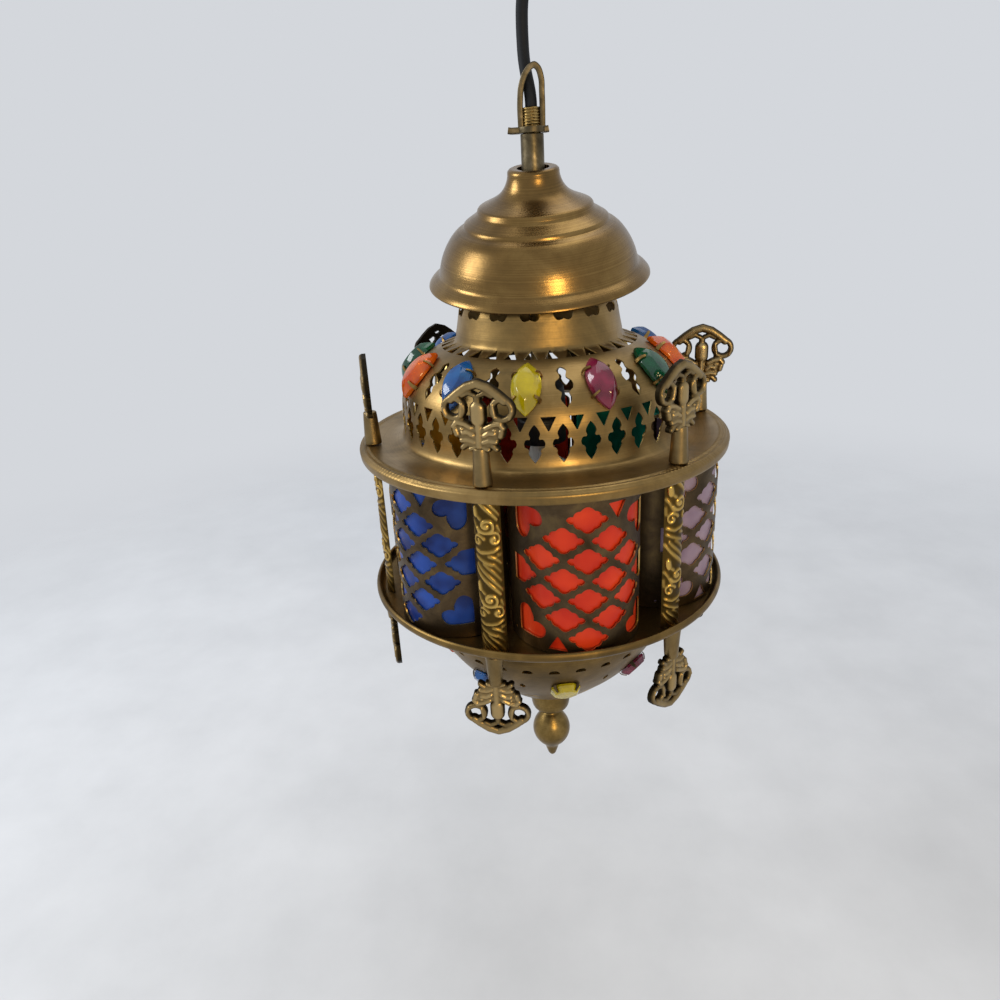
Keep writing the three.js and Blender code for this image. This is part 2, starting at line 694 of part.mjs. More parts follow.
// Everything that repeats six times: a bay with its pane, then a column with an ornament above and below.
// One upper ornament has turned on its stem.
const turnedOrnament = 3;
const ornamentTurn = -115;
for (let i = 0; i < bayCount; i += 1) {
  const bay = new THREE.Group();
  bay.rotation.z = radians(firstBayAzimuth + (i * 360) / bayCount);
  bay.add(piece(`bay_panel_${i + 1}`, bayPanel(), darkBrass));
  const color = bayColours[i % bayColours.length];
  bay.add(piece(`glass_pane_${i + 1}`, bayPane(), { color, roughness: 0.15, metalness: 0 }));
  lamp.add(bay);

  const post = new THREE.Group();
  post.rotation.z = radians(firstBayAzimuth + ((i - 0.5) * 360) / bayCount);
  post.add(piece(`column_${i + 1}`, columnStrip(), brightBrass));
  const upper = piece(`top_ornament_${i + 1}`, castOrnament(), castBrass);
  upper.position.y = -ornamentCircle;
  upper.rotation.z = i + 1 === turnedOrnament ? radians(ornamentTurn) : 0;
  const lower = piece(`bottom_ornament_${i + 1}`, castOrnament(), castBrass);
  lower.position.set(0, -ornamentCircle, floorTop - sheetWall);
  lower.rotation.y = Math.PI;
  post.add(upper, lower);
  lamp.add(post);
}

lamp.add(piece('bottom_plate', bottomPlate(), brass));
lamp.add(piece('bottom_bowl', bottomBowl(), brass));
lamp.add(piece('finial', finial(), brass));
lamp.add(piece('finial_nut', finialNut(), brass));

export default lamp;
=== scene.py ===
import math

import bpy
import numpy as np
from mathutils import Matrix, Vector
from mathutils.geometry import delaunay_2d_cdt


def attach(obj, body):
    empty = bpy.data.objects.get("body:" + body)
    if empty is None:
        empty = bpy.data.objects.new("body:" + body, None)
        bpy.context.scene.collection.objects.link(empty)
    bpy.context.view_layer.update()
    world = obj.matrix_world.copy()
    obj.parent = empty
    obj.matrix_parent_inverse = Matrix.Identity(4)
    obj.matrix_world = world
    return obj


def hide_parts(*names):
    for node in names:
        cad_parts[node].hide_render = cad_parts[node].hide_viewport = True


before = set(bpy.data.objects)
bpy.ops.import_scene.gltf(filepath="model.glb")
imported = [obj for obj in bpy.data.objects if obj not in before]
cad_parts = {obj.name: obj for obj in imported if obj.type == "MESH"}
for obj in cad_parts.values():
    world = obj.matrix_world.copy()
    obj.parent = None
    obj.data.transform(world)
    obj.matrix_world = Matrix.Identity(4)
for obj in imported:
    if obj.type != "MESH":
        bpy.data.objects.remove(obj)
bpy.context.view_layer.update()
print("frame loaded")

# Shapes are worked out in millimetres, with heights from the flange's flat top and azimuths in degrees
# from the front (-Y) towards the right (+X). The row's origin is the ceiling face, so each mesh is
# lowered by the ceiling height and scaled to metres when it is made.
mm = 0.001
ceilingHeight = 258.0

# Camera at the photograph's place
camera = {"place": (0, -0.42006, -0.13272), "turn": (67.8857, 3.0188, 2.4013), "lens": 27, "sensor": 36}
lens = bpy.data.cameras.new("photo_camera")
lens.lens, lens.sensor_width = camera["lens"], camera["sensor"]
eye = bpy.data.objects.new("photo_camera", lens)
eye.location = camera["place"]
eye.rotation_euler = [math.radians(turn) for turn in camera["turn"]]
bpy.context.scene.collection.objects.link(eye)
bpy.context.scene.camera = eye
print("camera placed")


# A body is a dictionary: points, quads and triangles, a finish number for each face, and two numbers
# for each point that the materials read. "along" is an arc length in millimetres and "relief" goes
# from 0 in a hollow to 1 on a ridge.
def closedBody(points, quads=(), triangles=(), along=0.0, relief=0.0, quadFinish=0, triangleFinish=0):
    # The signed volume is a sixth of the sum of a . (b x c) over the faces' triangles, and a body
    # whose faces point inwards is turned inside out.
    points = np.asarray(points, float).reshape(-1, 3)
    quads = np.asarray(quads, int).reshape(-1, 4)
    triangles = np.asarray(triangles, int).reshape(-1, 3)
    fans = np.vstack([quads[:, [0, 1, 2]], quads[:, [0, 2, 3]], triangles])
    a, b, c = (points[fans[:, i]] - points.mean(0) for i in range(3))
    if np.einsum("ij,ij->", a, np.cross(b, c)) < 0:
        quads, triangles = quads[:, ::-1], triangles[:, ::-1]
    return {
        "points": points,
        "quads": quads,
        "triangles": triangles,
        "along": np.broadcast_to(np.asarray(along, float), len(points)),
        "relief": np.broadcast_to(np.asarray(relief, float), len(points)),
        "quadFinish": np.broadcast_to(np.asarray(quadFinish, int), len(quads)),
        "triangleFinish": np.broadcast_to(np.asarray(triangleFinish, int), len(triangles)),
    }


def joined(bodies):
    # Several bodies in one mesh: the faces of each count on from the points before it.
    first = np.cumsum([0] + [len(body["points"]) for body in bodies])
    together = {key: np.concatenate([body[key] for body in bodies]) for key in bodies[0]}
    for key in ("quads", "triangles"):
        together[key] = np.concatenate([body[key] + start for body, start in zip(bodies, first)])
    return together


def turnedTo(body, azimuth):
    # Every point turned about Z by the azimuth.
    c, s = math.cos(math.radians(azimuth)), math.sin(math.radians(azimuth))
    turn = np.array([[c, -s, 0], [s, c, 0], [0, 0, 1]])
    return {**body, "points": body["points"] @ turn.T}


def gridQuads(rows, columns, closed=True, ringed=False):
    # Quads between the points i columns + j of a grid. In a closed one the last column joins the
    # first, and in a ringed one the last row joins the first as well.
    i, j = np.meshgrid(np.arange(rows - (not ringed)), np.arange(columns - (not closed)), indexing="ij")
    ahead, beside = (i + 1) % rows * columns, (j + 1) % columns
    quads = np.stack([i * columns + j, i * columns + beside, ahead + beside, ahead + j], -1)
    return quads.reshape(-1, 4)


def endFans(rows, columns):
    # Triangles that close a grid's first and last rows round two middle points, numbered after it.
    j, middle = np.arange(columns), np.full(columns, rows * columns)
    last, beside = (rows - 1) * columns, (j + 1) % columns
    return np.vstack([
        np.stack([middle, beside, j], 1), np.stack([middle + 1, last + j, last + beside], 1),
    ])


def makePiece(name, rideOn, body, materials, replaces=(), sharp=38):
    corners = np.concatenate([body["quads"].ravel(), body["triangles"].ravel()])
    sizes = np.concatenate([np.full(len(body["quads"]), 4), np.full(len(body["triangles"]), 3)])
    mesh = bpy.data.meshes.new(name)
    mesh.vertices.add(len(body["points"]))
    mesh.vertices.foreach_set("co", ((body["points"] - (0, 0, ceilingHeight)) * mm).ravel())
    mesh.loops.add(len(corners))
    mesh.loops.foreach_set("vertex_index", corners)
    mesh.polygons.add(len(sizes))
    mesh.polygons.foreach_set("loop_start", np.cumsum(sizes) - sizes)
    mesh.polygons.foreach_set("use_smooth", np.ones(len(sizes), bool))
    for material in materials:
        mesh.materials.append(material)
    mesh.polygons.foreach_set(
        "material_index", np.concatenate([body["quadFinish"], body["triangleFinish"]])
    )
    mesh.update(calc_edges=True)
    mesh.set_sharp_from_angle(angle=math.radians(sharp))
    for key in ("along", "relief"):
        mesh.attributes.new(key, "FLOAT", "POINT").data.foreach_set("value", body[key])
    piece = bpy.data.objects.new(name, mesh)
    bpy.context.scene.collection.objects.link(piece)
    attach(piece, rideOn)
    if replaces:
        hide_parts(*replaces)
    return piece


def smoothLine(points, step):
    # Cubic Hermite pieces through the points. A point's tangent is the mean of its two chords'
    # directions, each weighted by the other chord's length, and each chord is cut into equal parts
    # no longer than the step.
    points = np.asarray(points, float)
    chords = np.diff(points, axis=0)
    length = np.linalg.norm(chords, axis=1)[:, None]
    slope = chords / length
    middle = (slope[:-1] * length[1:] + slope[1:] * length[:-1]) / (length[:-1] + length[1:])
    tangent = np.vstack([slope[:1], middle, slope[-1:]])
    counts = np.maximum(np.ceil(length[:, 0] / step).astype(int), 1)
    i = np.repeat(np.arange(len(counts)), counts)
    t = ((np.arange(len(i)) - np.repeat(np.cumsum(counts) - counts, counts)) / counts[i])[:, None]
    start = (2 * t**3 - 3 * t**2 + 1) * points[i] + (t**3 - 2 * t**2 + t) * length[i] * tangent[i]
    end = (3 * t**2 - 2 * t**3) * points[i + 1] + (t**3 - t**2) * length[i] * tangent[i + 1]
    return np.vstack([start + end, points[-1:]])


def easedLine(points, ease, steps=4):
    # Each inner corner p becomes the curve (1-t)^2 a + 2t(1-t) p + t^2 b, where a and b lie the ease
    # away along its two sides, or half a side away where that is shorter.
    points = np.asarray(points, float)
    chords = np.diff(points, axis=0)
    length = np.linalg.norm(chords, axis=1)[:, None]
    reach = np.minimum(ease, length / 2) * chords / length
    t = np.linspace(0, 1, steps + 1)[None, :, None]
    corner = points[1:-1, None]
    a, b = corner - reach[:-1, None], corner + reach[1:, None]
    curves = (1 - t) ** 2 * a + 2 * t * (1 - t) * corner + t**2 * b
    return np.vstack([points[:1], curves.reshape(-1, points.shape[1]), points[-1:]])


def arcLength(line):
    return np.concatenate([[0], np.cumsum(np.linalg.norm(np.diff(line, axis=0), axis=1))])


def inward(line, wall):
    # Each profile point moved square to the line by the wall, towards the inside of a spun sheet.
    slope = np.gradient(np.asarray(line, float), axis=0)
    slope = slope / np.linalg.norm(slope, axis=1)[:, None]
    return line + wall * np.stack([slope[:, 1], -slope[:, 0]], 1)


def turned(profile, steps):
    # Point (i, j) is (r sin a, -r cos a, z) of profile point i at azimuth a of step j. A profile that
    # starts and ends on the axis gets a pole at each end, and any other closes on itself.
    profile = np.asarray(profile, float)
    poles = profile[0, 0] < 1e-6 and profile[-1, 0] < 1e-6
    ring = profile[1:-1] if poles else profile
    azimuth = np.arange(steps) * 2 * np.pi / steps
    radius, height = ring[:, :1], np.repeat(ring[:, 1:], steps, 1)
    points = np.stack([radius * np.sin(azimuth), -radius * np.cos(azimuth), height], -1).reshape(-1, 3)
    quads = gridQuads(len(ring), steps, ringed=not poles)
    distance = np.repeat(arcLength(profile)[1:-1] if poles else arcLength(profile), steps)
    triangles = ()
    if poles:
        triangles = endFans(len(ring), steps)
        points = np.vstack([points, [0, 0, profile[0, 1]], [0, 0, profile[-1, 1]]])
        distance = np.concatenate([distance, [0, arcLength(profile)[-1]]])
    return closedBody(points, quads, triangles, distance)


def spunSheet(line, wall, steps):
    # A turned wall: the outer line, then the inner one back.
    return turned(np.vstack([line, inward(line, wall)[::-1]]), steps)


def swept(path, section, across):
    # The section's point (a, b) at each path point p is p + a n + b m, where n is the across direction
    # made square to the path and m is square to both. Both ends are closed with fans.
    path, section = np.asarray(path, float), np.asarray(section, float)
    slope = np.gradient(path, axis=0)
    slope /= np.linalg.norm(slope, axis=1)[:, None]
    n = np.asarray(across, float) - (slope @ across)[:, None] * slope
    n /= np.linalg.norm(n, axis=1)[:, None]
    m = np.cross(slope, n)
    sides = section if section.ndim == 3 else np.repeat(section[None], len(path), 0)
    count = sides.shape[1]
    rings = path[:, None] + sides[..., :1] * n[:, None] + sides[..., 1:] * m[:, None]
    points = np.vstack([rings.reshape(-1, 3), path[:1], path[-1:]])
    along = np.concatenate([np.repeat(arcLength(path), count), [0, arcLength(path)[-1]]])
    return closedBody(points, gridQuads(len(path), count), endFans(len(path), count), along)


def roundSection(radius, sides):
    turn = np.arange(sides) * 2 * np.pi / sides
    return radius * np.stack([np.cos(turn), np.sin(turn)], 1)


def easedBox(width, height, ease, steps=3):
    # A rectangle with rounded corners, as a loop of points.
    a, b = width / 2, height / 2
    corners = [(0, -b), (a, -b), (a, b), (-a, b), (-a, -b), (0, -b)]
    return easedLine(corners, ease, steps)[:-1]


def bowed(corners, sags, steps=5):
    # An outline whose sides bow outwards: a + t (b - a) + 4 t (1 - t) sag n, with n the side's outer
    # normal. The corners run counterclockwise.
    corners = np.asarray(corners, float)
    sides = np.roll(corners, -1, axis=0) - corners
    normal = np.stack([sides[:, 1], -sides[:, 0]], 1) / np.linalg.norm(sides, axis=1)[:, None]
    t = (np.arange(steps) / steps)[None, :, None]
    rise = 4 * t * (1 - t) * np.asarray(sags, float)[:, None, None]
    return (corners[:, None] + t * sides[:, None] + rise * normal[:, None]).reshape(-1, 2)


def mirrored(half):
    # A whole outline from its right half, listed as (half-width, distance below the top), about its
    # middle and counterclockwise.
    half = np.asarray(half, float)
    height = half[-1, 1]
    right = np.stack([half[:, 0], height / 2 - half[:, 1]], 1)
    left = right[1:-1] * (-1, 1)
    return np.vstack([right[::-1], left])


def farFrom(u, v, outline, gap):
    # Which points (u, v) are neither inside the outline nor within the gap of it. Inside is an odd
    # count of sides crossed by a ray towards +u.
    a, b = outline, np.roll(outline, -1, axis=0)
    side = b - a
    spot = np.stack([u, v], 1)[:, None]
    t = np.clip(((spot - a) * side).sum(-1) / (side * side).sum(-1), 0, 1)
    near = np.linalg.norm(spot - a - t[..., None] * side, axis=-1).min(1) < gap
    crosses = (a[:, 1] > spot[..., 1]) != (b[:, 1] > spot[..., 1])
    height = np.where(side[:, 1] == 0, 1, side[:, 1])
    reach = a[:, 0] + (spot[..., 1] - a[:, 1]) * side[:, 0] / height
    odd = (crosses & (spot[..., 0] < reach)).sum(1) % 2 == 1
    return ~(near | odd)


def cutFlat(border, holes, filling):
    # A constrained Delaunay net of the outlines and the filling points. A triangle that lies in the
    # border alone belongs to the sheet, and one that also lies in a hole is dropped.
    outlines = [border, *holes]
    ends = np.cumsum([len(outline) for outline in outlines])
    spots = np.vstack([*outlines, filling])
    faces = [list(range(end - len(outline), end)) for outline, end in zip(outlines, ends)]
    net = delaunay_2d_cdt([Vector(spot) for spot in spots.tolist()], [], faces, 0, 1e-7, True)
    triangles = [face for face, inside in zip(net[2], net[5]) if list(inside) == [0]]
    return np.array([spot[:] for spot in net[0]]), np.array(triangles)


def walled(faces, front, back, along, relief=0.0, edgeFinish=0):
    # Front and back faces over the same net, joined by a rim along each side that one face uses.
    count = len(front)
    sides = np.stack([faces, np.roll(faces, -1, axis=1)], -1).reshape(-1, 2)
    key, reverse = sides[:, 0] * count + sides[:, 1], sides[:, 1] * count + sides[:, 0]
    a, b = sides[~np.isin(key, reverse)].T
    rim = np.stack([b, a, a + count, b + count], 1)
    both = np.vstack([faces, faces[:, ::-1] + count])
    points = np.vstack([front, back])
    along = np.tile(np.broadcast_to(along, count), 2)
    relief = np.concatenate([np.broadcast_to(relief, count), np.zeros(count)])
    if faces.shape[1] == 3:
        return closedBody(points, rim, both, along, relief, edgeFinish, 0)
    finish = np.repeat([0, edgeFinish], [len(both), len(rim)])
    return closedBody(points, np.vstack([both, rim]), (), along, relief, finish)


class SpunLine:
    # The outer line of a spun sheet with its tables: arc length s, q = the sum of ds / r that lays the
    # sheet flat as a ring with true angles, and the unit normal.
    def __init__(self, line):
        self.line = line
        self.s = arcLength(line)
        middle = (line[1:, 0] + line[:-1, 0]) / 2
        self.q = np.concatenate([[0], np.cumsum(np.diff(self.s) / middle)])
        self.normal = line - inward(line, 1.0)

    def at(self, s, table):
        return np.interp(s, self.s, table)

    def place(self, azimuth, s, u, v, level):
        # The point u across, v up and level above the sheet's point at the azimuth and s.
        down = s - v
        turn = np.radians(azimuth) + u / self.at(down, self.line[:, 0])
        r = self.at(down, self.line[:, 0]) + level * self.at(down, self.normal[:, 0])
        z = self.at(down, self.line[:, 1]) + level * self.at(down, self.normal[:, 1])
        return np.stack([r * np.sin(turn), -r * np.cos(turn), z], -1)


def piercedSpun(spun, wall, holes, pitch, clear):
    # holes lists (outline, azimuth, s). Flat points are exp(q) (cos a, sin a), and after the cut each
    # goes back to its place on the line, so the round sheet has no seam.
    def flat(azimuth, s):
        reach = np.exp(spun.at(s, spun.q))
        return np.stack([reach * np.cos(azimuth), reach * np.sin(azimuth)], 1)

    radius = spun.line[:, 0]
    counts = np.maximum(np.round(2 * np.pi * radius / pitch).astype(int), 24)
    row = np.repeat(np.arange(len(counts)), counts)
    step = np.arange(len(row)) - np.repeat(np.cumsum(counts) - counts, counts)
    azimuth = (step + 0.5 * (row % 2)) * 2 * np.pi / counts[row]
    s = spun.s[row]
    first, last = row == 0, row == len(counts) - 1
    keep = ~(first | last)
    outlines = []
    for outline, middle, centre in holes:
        outlineS = centre - outline[:, 1]
        turn = np.radians(middle) + outline[:, 0] / spun.at(outlineS, radius)
        outlines.append(flat(turn, outlineS))
        reach = np.abs(outline).max() + clear
        u = (np.mod(azimuth - np.radians(middle) + np.pi, 2 * np.pi) - np.pi) * radius[row]
        near = np.flatnonzero(keep & (np.abs(u) < reach) & (np.abs(centre - s) < reach))
        keep[near] = farFrom(u[near], (centre - s)[near], outline, clear)
    border, mouth = (last, first) if spun.q[-1] > 0 else (first, last)
    spots, triangles = cutFlat(
        flat(azimuth[border], s[border]), [flat(azimuth[mouth], s[mouth]), *outlines],
        flat(azimuth[keep], s[keep]),
    )
    s = np.interp(np.log(np.linalg.norm(spots, axis=1)), spun.q, spun.s)
    azimuth = np.degrees(np.arctan2(spots[:, 1], spots[:, 0]))
    front = spun.place(azimuth, s, 0, 0, 0)
    return walled(triangles, front, spun.place(azimuth, s, 0, 0, -wall), s, 0.0, 1)


def strokeField(spots, strokes):
    # Each stroke is a line of points with a half-width and a height. Its distance d is to the nearest
    # of its segments. Returned are the least of d - width, and the highest of
    # height sqrt(1 - (d / width)^2).
    outside = np.full(spots.shape[:-1], 1e3)
    rise = np.zeros(spots.shape[:-1])
    for line, width, height in strokes:
        line = np.asarray(line, float)
        a, side = line[:-1], np.diff(line, axis=0)
        t = np.clip(((spots[..., None, :] - a) * side).sum(-1) / (side * side).sum(-1), 0, 1)
        gap = np.linalg.norm(spots[..., None, :] - a - t[..., None] * side, axis=-1).min(-1)
        outside = np.minimum(outside, gap - width)
        rise = np.maximum(rise, height * np.sqrt(np.clip(1 - (gap / width) ** 2, 0, 1)))
    return outside, rise


def bothSides(strokes):
    # The strokes and their mirror images about the upright axis.
    flip = [([(-x, y) for x, y in line], width, height) for line, width, height in strokes]
    return [*strokes, *flip]


def ringStroke(centre, radius, width, height, steps=20):
    turn = np.linspace(0, 2 * np.pi, steps + 1)
    line = np.stack([centre[0] + radius * np.cos(turn), centre[1] + radius * np.sin(turn)], 1)
    return line.tolist(), width, height


print("shape functions ready")


def hexColour(text):
    # sRGB to linear by the standard curve.
    value = np.array([int(text[i:i + 2], 16) for i in (1, 3, 5)]) / 255
    linear = np.where(value <= 0.04045, value / 12.92, ((value + 0.055) / 1.055) ** 2.4)
    return (*linear.tolist(), 1.0)


def addNode(tree, kind, settings=None, inputs=None, links=None, stops=None):
    node = tree.nodes.new(kind)
    for key, value in (settings or {}).items():
        setattr(node, key, value)
    for key, value in (inputs or {}).items():
        node.inputs[key].default_value = value
    for key, socket in (links or {}).items():
        tree.links.new(socket, node.inputs[key])
    for i, (place, colour) in enumerate(stops or ()):
        elements = node.color_ramp.elements
        stop = elements[i] if i < 2 else elements.new(place)
        stop.position, stop.color = place, colour
    return node


def newMaterial(name, values):
    material = bpy.data.materials.new(name)
    material.use_nodes = True
    tree = material.node_tree
    tree.nodes.clear()
    shader = addNode(tree, "ShaderNodeBsdfPrincipled", inputs=values)
    addNode(tree, "ShaderNodeOutputMaterial", links={"Surface": shader.outputs["BSDF"]})
    return material, tree, shader


def brassMaterial(name, finish):
    # Brass: a metal, so its colour is that of its reflection. Patches of tarnish of the patch size
    # darken and dull it, and ridges stay bright where the relief is high: worn brass on the stamped and
    # cast pieces, a painted highlight on the stem's thread. A spun sheet has turning marks at the ring
    # pitch that run round it, read from the arc length of its profile. Sheet that was neither turned
    # nor stamped has none of either.
    finish = {"ring": 60, "reliefShare": 0.0, "ringShare": 0.0, "ringRise": 0.0, **finish}
    material, tree, shader = newMaterial(name, {"Metallic": 1.0})
    place = addNode(tree, "ShaderNodeTexCoord").outputs["Object"]
    patches = addNode(
        tree, "ShaderNodeTexNoise",
        inputs={"Scale": 1000 / finish["patch"], "Detail": 5.0, "Roughness": 0.62, "Distortion": 0.4},
        links={"Vector": place},
    ).outputs["Fac"]
    specks = addNode(
        tree, "ShaderNodeTexNoise",
        inputs={"Scale": 1000 / finish["speck"], "Detail": 3.0, "Roughness": 0.7},
        links={"Vector": place},
    ).outputs["Fac"]
    along = addNode(tree, "ShaderNodeAttribute", {"attribute_name": "along"}).outputs["Fac"]
    relief = addNode(tree, "ShaderNodeAttribute", {"attribute_name": "relief"}).outputs["Fac"]
    rings = addNode(
        tree, "ShaderNodeTexNoise", {"noise_dimensions": "1D"},
        {"Scale": 1 / finish["ring"], "Detail": 4.0, "Roughness": 0.75}, {"W": along},
    ).outputs["Fac"]
    lift = addNode(
        tree, "ShaderNodeMath", {"operation": "MULTIPLY_ADD"},
        {1: finish["reliefShare"], 2: 0.0}, {0: relief},
    ).outputs[0]
    turning = addNode(
        tree, "ShaderNodeMath", {"operation": "MULTIPLY_ADD"},
        {1: finish["ringShare"]}, {0: rings, 2: lift},
    ).outputs[0]
    tone = addNode(
        tree, "ShaderNodeMath", {"operation": "MULTIPLY_ADD"},
        {1: finish["patchShare"]}, {0: patches, 2: turning},
    ).outputs[0]
    colour = addNode(
        tree, "ShaderNodeValToRGB", links={"Fac": tone},
        stops=[(place, hexColour(text)) for place, text in finish["colours"]],
    ).outputs["Color"]
    spotted = addNode(
        tree, "ShaderNodeMapRange",
        inputs={"From Min": 0.62, "From Max": 0.8, "To Max": finish["speckShare"]},
        links={"Value": specks},
    ).outputs["Result"]
    mixed = addNode(
        tree, "ShaderNodeMix", {"data_type": "RGBA"}, {7: hexColour(finish["stain"])},
        {0: spotted, 6: colour},
    ).outputs[2]
    tree.links.new(mixed, shader.inputs["Base Color"])
    dull = addNode(
        tree, "ShaderNodeMapRange",
        inputs={
            "From Min": 0.25, "From Max": 0.75, "To Min": finish["dull"], "To Max": finish["polish"],
        },
        links={"Value": tone},
    ).outputs["Result"]
    tree.links.new(dull, shader.inputs["Roughness"])
    grain = addNode(
        tree, "ShaderNodeMath", {"operation": "MULTIPLY_ADD"}, {1: finish["ringRise"]},
        {0: rings, 2: specks},
    ).outputs[0]
    bump = addNode(
        tree, "ShaderNodeBump", inputs={"Strength": finish["bump"], "Distance": 0.0002},
        links={"Height": grain},
    )
    tree.links.new(bump.outputs["Normal"], shader.inputs["Normal"])
    return material


# Satin brass, spun on a lathe and lacquered long ago: brown gold with soft wide highlights, fine rings
# about half a millimetre apart and clouds of tarnish some centimetres wide.
spunBrass = brassMaterial("spun_satin_brass", {
    "patch": 34, "speck": 1.6, "ring": 0.9, "reliefShare": 0.3, "ringShare": 0.3, "patchShare": 0.72,
    "colours": [(0.3, "#58462a"), (0.5, "#775d36"), (0.72, "#9b7e4c")], "stain": "#453820",
    "speckShare": 0.3, "dull": 0.34, "polish": 0.21, "ringRise": 1.2, "bump": 0.16,
})
# The shoulder and the plate are the same spun brass, more tarnished: olive brown, duller.
agedBrass = brassMaterial("aged_spun_brass", {
    "patch": 26, "speck": 1.3, "ring": 0.8, "reliefShare": 0.3, "ringShare": 0.24, "patchShare": 0.8,
    "colours": [(0.3, "#4e4028"), (0.52, "#6e5832"), (0.76, "#907443")], "stain": "#3c301d",
    "speckShare": 0.45, "dull": 0.5, "polish": 0.36, "ringRise": 0.9, "bump": 0.2,
})
# The shoulder and flange: the same brass, even, with a matt sheen, and painted lighter to stand in for
# the pale sky that the flange reflects at a grazing angle.
skyLitBrass = brassMaterial("aged_spun_brass_painted_sky_light", {
    "patch": 30, "speck": 1.2, "ring": 0.8, "reliefShare": 0.3, "ringShare": 0.2, "patchShare": 0.84,
    "colours": [(0.3, "#5f5034"), (0.52, "#856c41"), (0.76, "#a98c5a")], "stain": "#48391f",
    "speckShare": 0.3, "dull": 0.46, "polish": 0.32, "ringRise": 0.9, "bump": 0.16,
})
# Panel brass, punched sheet that was never polished: dark olive with a low sheen.
panelBrass = brassMaterial("punched_dark_brass", {
    "patch": 15, "speck": 1.1, "ringShare": 0.05, "patchShare": 0.95,
    "colours": [(0.3, "#3a3022"), (0.52, "#554633"), (0.76, "#73603f")], "stain": "#2a2317",
    "speckShare": 0.5, "dull": 0.52, "polish": 0.36, "bump": 0.3,
})
# The cut edge of a punched sheet is bare metal, painted brighter still as the glint that the edges
# catch: a thin bright gold line.
cutEdgeBrassAndGlint = brassMaterial("cut_brass_edge_painted_glint", {
    "patch": 9, "speck": 0.8, "patchShare": 1.0,
    "colours": [(0.3, "#a58a52"), (0.52, "#c8ab6c"), (0.76, "#e8d49a")], "stain": "#7b6540",
    "speckShare": 0.3, "dull": 0.4, "polish": 0.26, "bump": 0.1,
})
# Stamped brass foil of the columns: dark in the hollows, rubbed to bright yellow gold on the ridges.
stampedBrass = brassMaterial("stamped_brass", {
    "patch": 22, "speck": 0.9, "reliefShare": 0.95, "patchShare": 0.35,
    "colours": [(0.16, "#4a3a1a"), (0.5, "#7d6330"), (0.95, "#c8a458")], "stain": "#3a2f1a",
    "speckShare": 0.35, "dull": 0.52, "polish": 0.26, "bump": 0.2,
})
# Cast brass of the ornaments, left as it came from the sand: grainy, near black in the hollows.
castBrass = brassMaterial("cast_brass", {
    "patch": 12, "speck": 0.7, "reliefShare": 0.85, "patchShare": 0.4,
    "colours": [(0.2, "#231d12"), (0.5, "#5d4d31"), (0.9, "#ab9264")], "stain": "#1d180f",
    "speckShare": 0.5, "dull": 0.56, "polish": 0.3, "bump": 0.45,
})
# Turned brass of the stem, sleeve, loop and finial: brighter, with tight tool marks.
turnedBrass = brassMaterial("turned_brass", {
    "patch": 14, "speck": 1.0, "ring": 0.5, "reliefShare": 0.3, "ringShare": 0.25, "patchShare": 0.75,
    "colours": [(0.3, "#4d3f26"), (0.52, "#766036"), (0.76, "#a58a54")], "stain": "#3a2f1c",
    "speckShare": 0.4, "dull": 0.44, "polish": 0.26, "ringRise": 0.8, "bump": 0.2,
})
# Bent brass strap of the loop, handled and tarnished: grey brown with a dull sheen.
strapBrass = brassMaterial("tarnished_strap_brass", {
    "patch": 9, "speck": 0.9, "patchShare": 1.0,
    "colours": [(0.3, "#3d3527"), (0.52, "#5e543f"), (0.76, "#857861")], "stain": "#2b251b",
    "speckShare": 0.5, "dull": 0.5, "polish": 0.34, "bump": 0.3,
})


def glassMaterial(name, colours, clear, wave=18.0, rough=0.07, coat=0.3, mirror=0.5):
    # Coloured glass in its mass, pressed or rolled: a skin with slow waves, body colour that thickens
    # in places, and a share of clear light through it. Pressed stones are fire polished and glossy,
    # and rolled panes are dusty and nearly matt.
    material, tree, shader = newMaterial(name, {
        "Roughness": rough, "IOR": 1.5, "Transmission Weight": clear, "Coat Weight": coat,
        "Specular IOR Level": mirror,
    })
    place = addNode(tree, "ShaderNodeTexCoord").outputs["Object"]
    cloud = addNode(
        tree, "ShaderNodeTexNoise", inputs={"Scale": 1000 / wave, "Detail": 2.0, "Roughness": 0.5},
        links={"Vector": place},
    ).outputs["Fac"]
    colour = addNode(
        tree, "ShaderNodeValToRGB", links={"Fac": cloud},
        stops=[(0.35, hexColour(colours[0])), (0.65, hexColour(colours[1]))],
    ).outputs["Color"]
    tree.links.new(colour, shader.inputs["Base Color"])
    seeds = addNode(
        tree, "ShaderNodeTexNoise", inputs={"Scale": 2600 / wave, "Detail": 2.0},
        links={"Vector": place},
    ).outputs["Fac"]
    bump = addNode(
        tree, "ShaderNodeBump", inputs={"Strength": 0.25, "Distance": 0.0006}, links={"Height": seeds}
    )
    tree.links.new(bump.outputs["Normal"], shader.inputs["Normal"])
    return material


paneGlass = {
    colour: glassMaterial(f"{colour}_rolled_glass", tones, 0.08, 18.0, 0.35, 0.0, 0.2)
    for colour, tones in {
        "red": ("#bd2810", "#d43c18"), "lilac": ("#7d6a80", "#9a8799"),
        "teal": ("#0f8a73", "#1ba58a"), "amber": ("#c48a1e", "#e2ab3c"),
        "blue": ("#0f2360", "#23479c"),
    }.items()
}
stoneGlass = {
    colour: glassMaterial(f"{colour}_pressed_glass", tones, 0.4, 9.0, 0.12, 0.15)
    for colour, tones in {
        "yellow": ("#b5a306", "#d8c51a"), "magenta": ("#6a1630", "#93284a"),
        "green": ("#0c432b", "#156540"), "orange": ("#cc4f0a", "#ea7416"),
        "blue": ("#0d4488", "#1c66ae"),
    }.items()
}


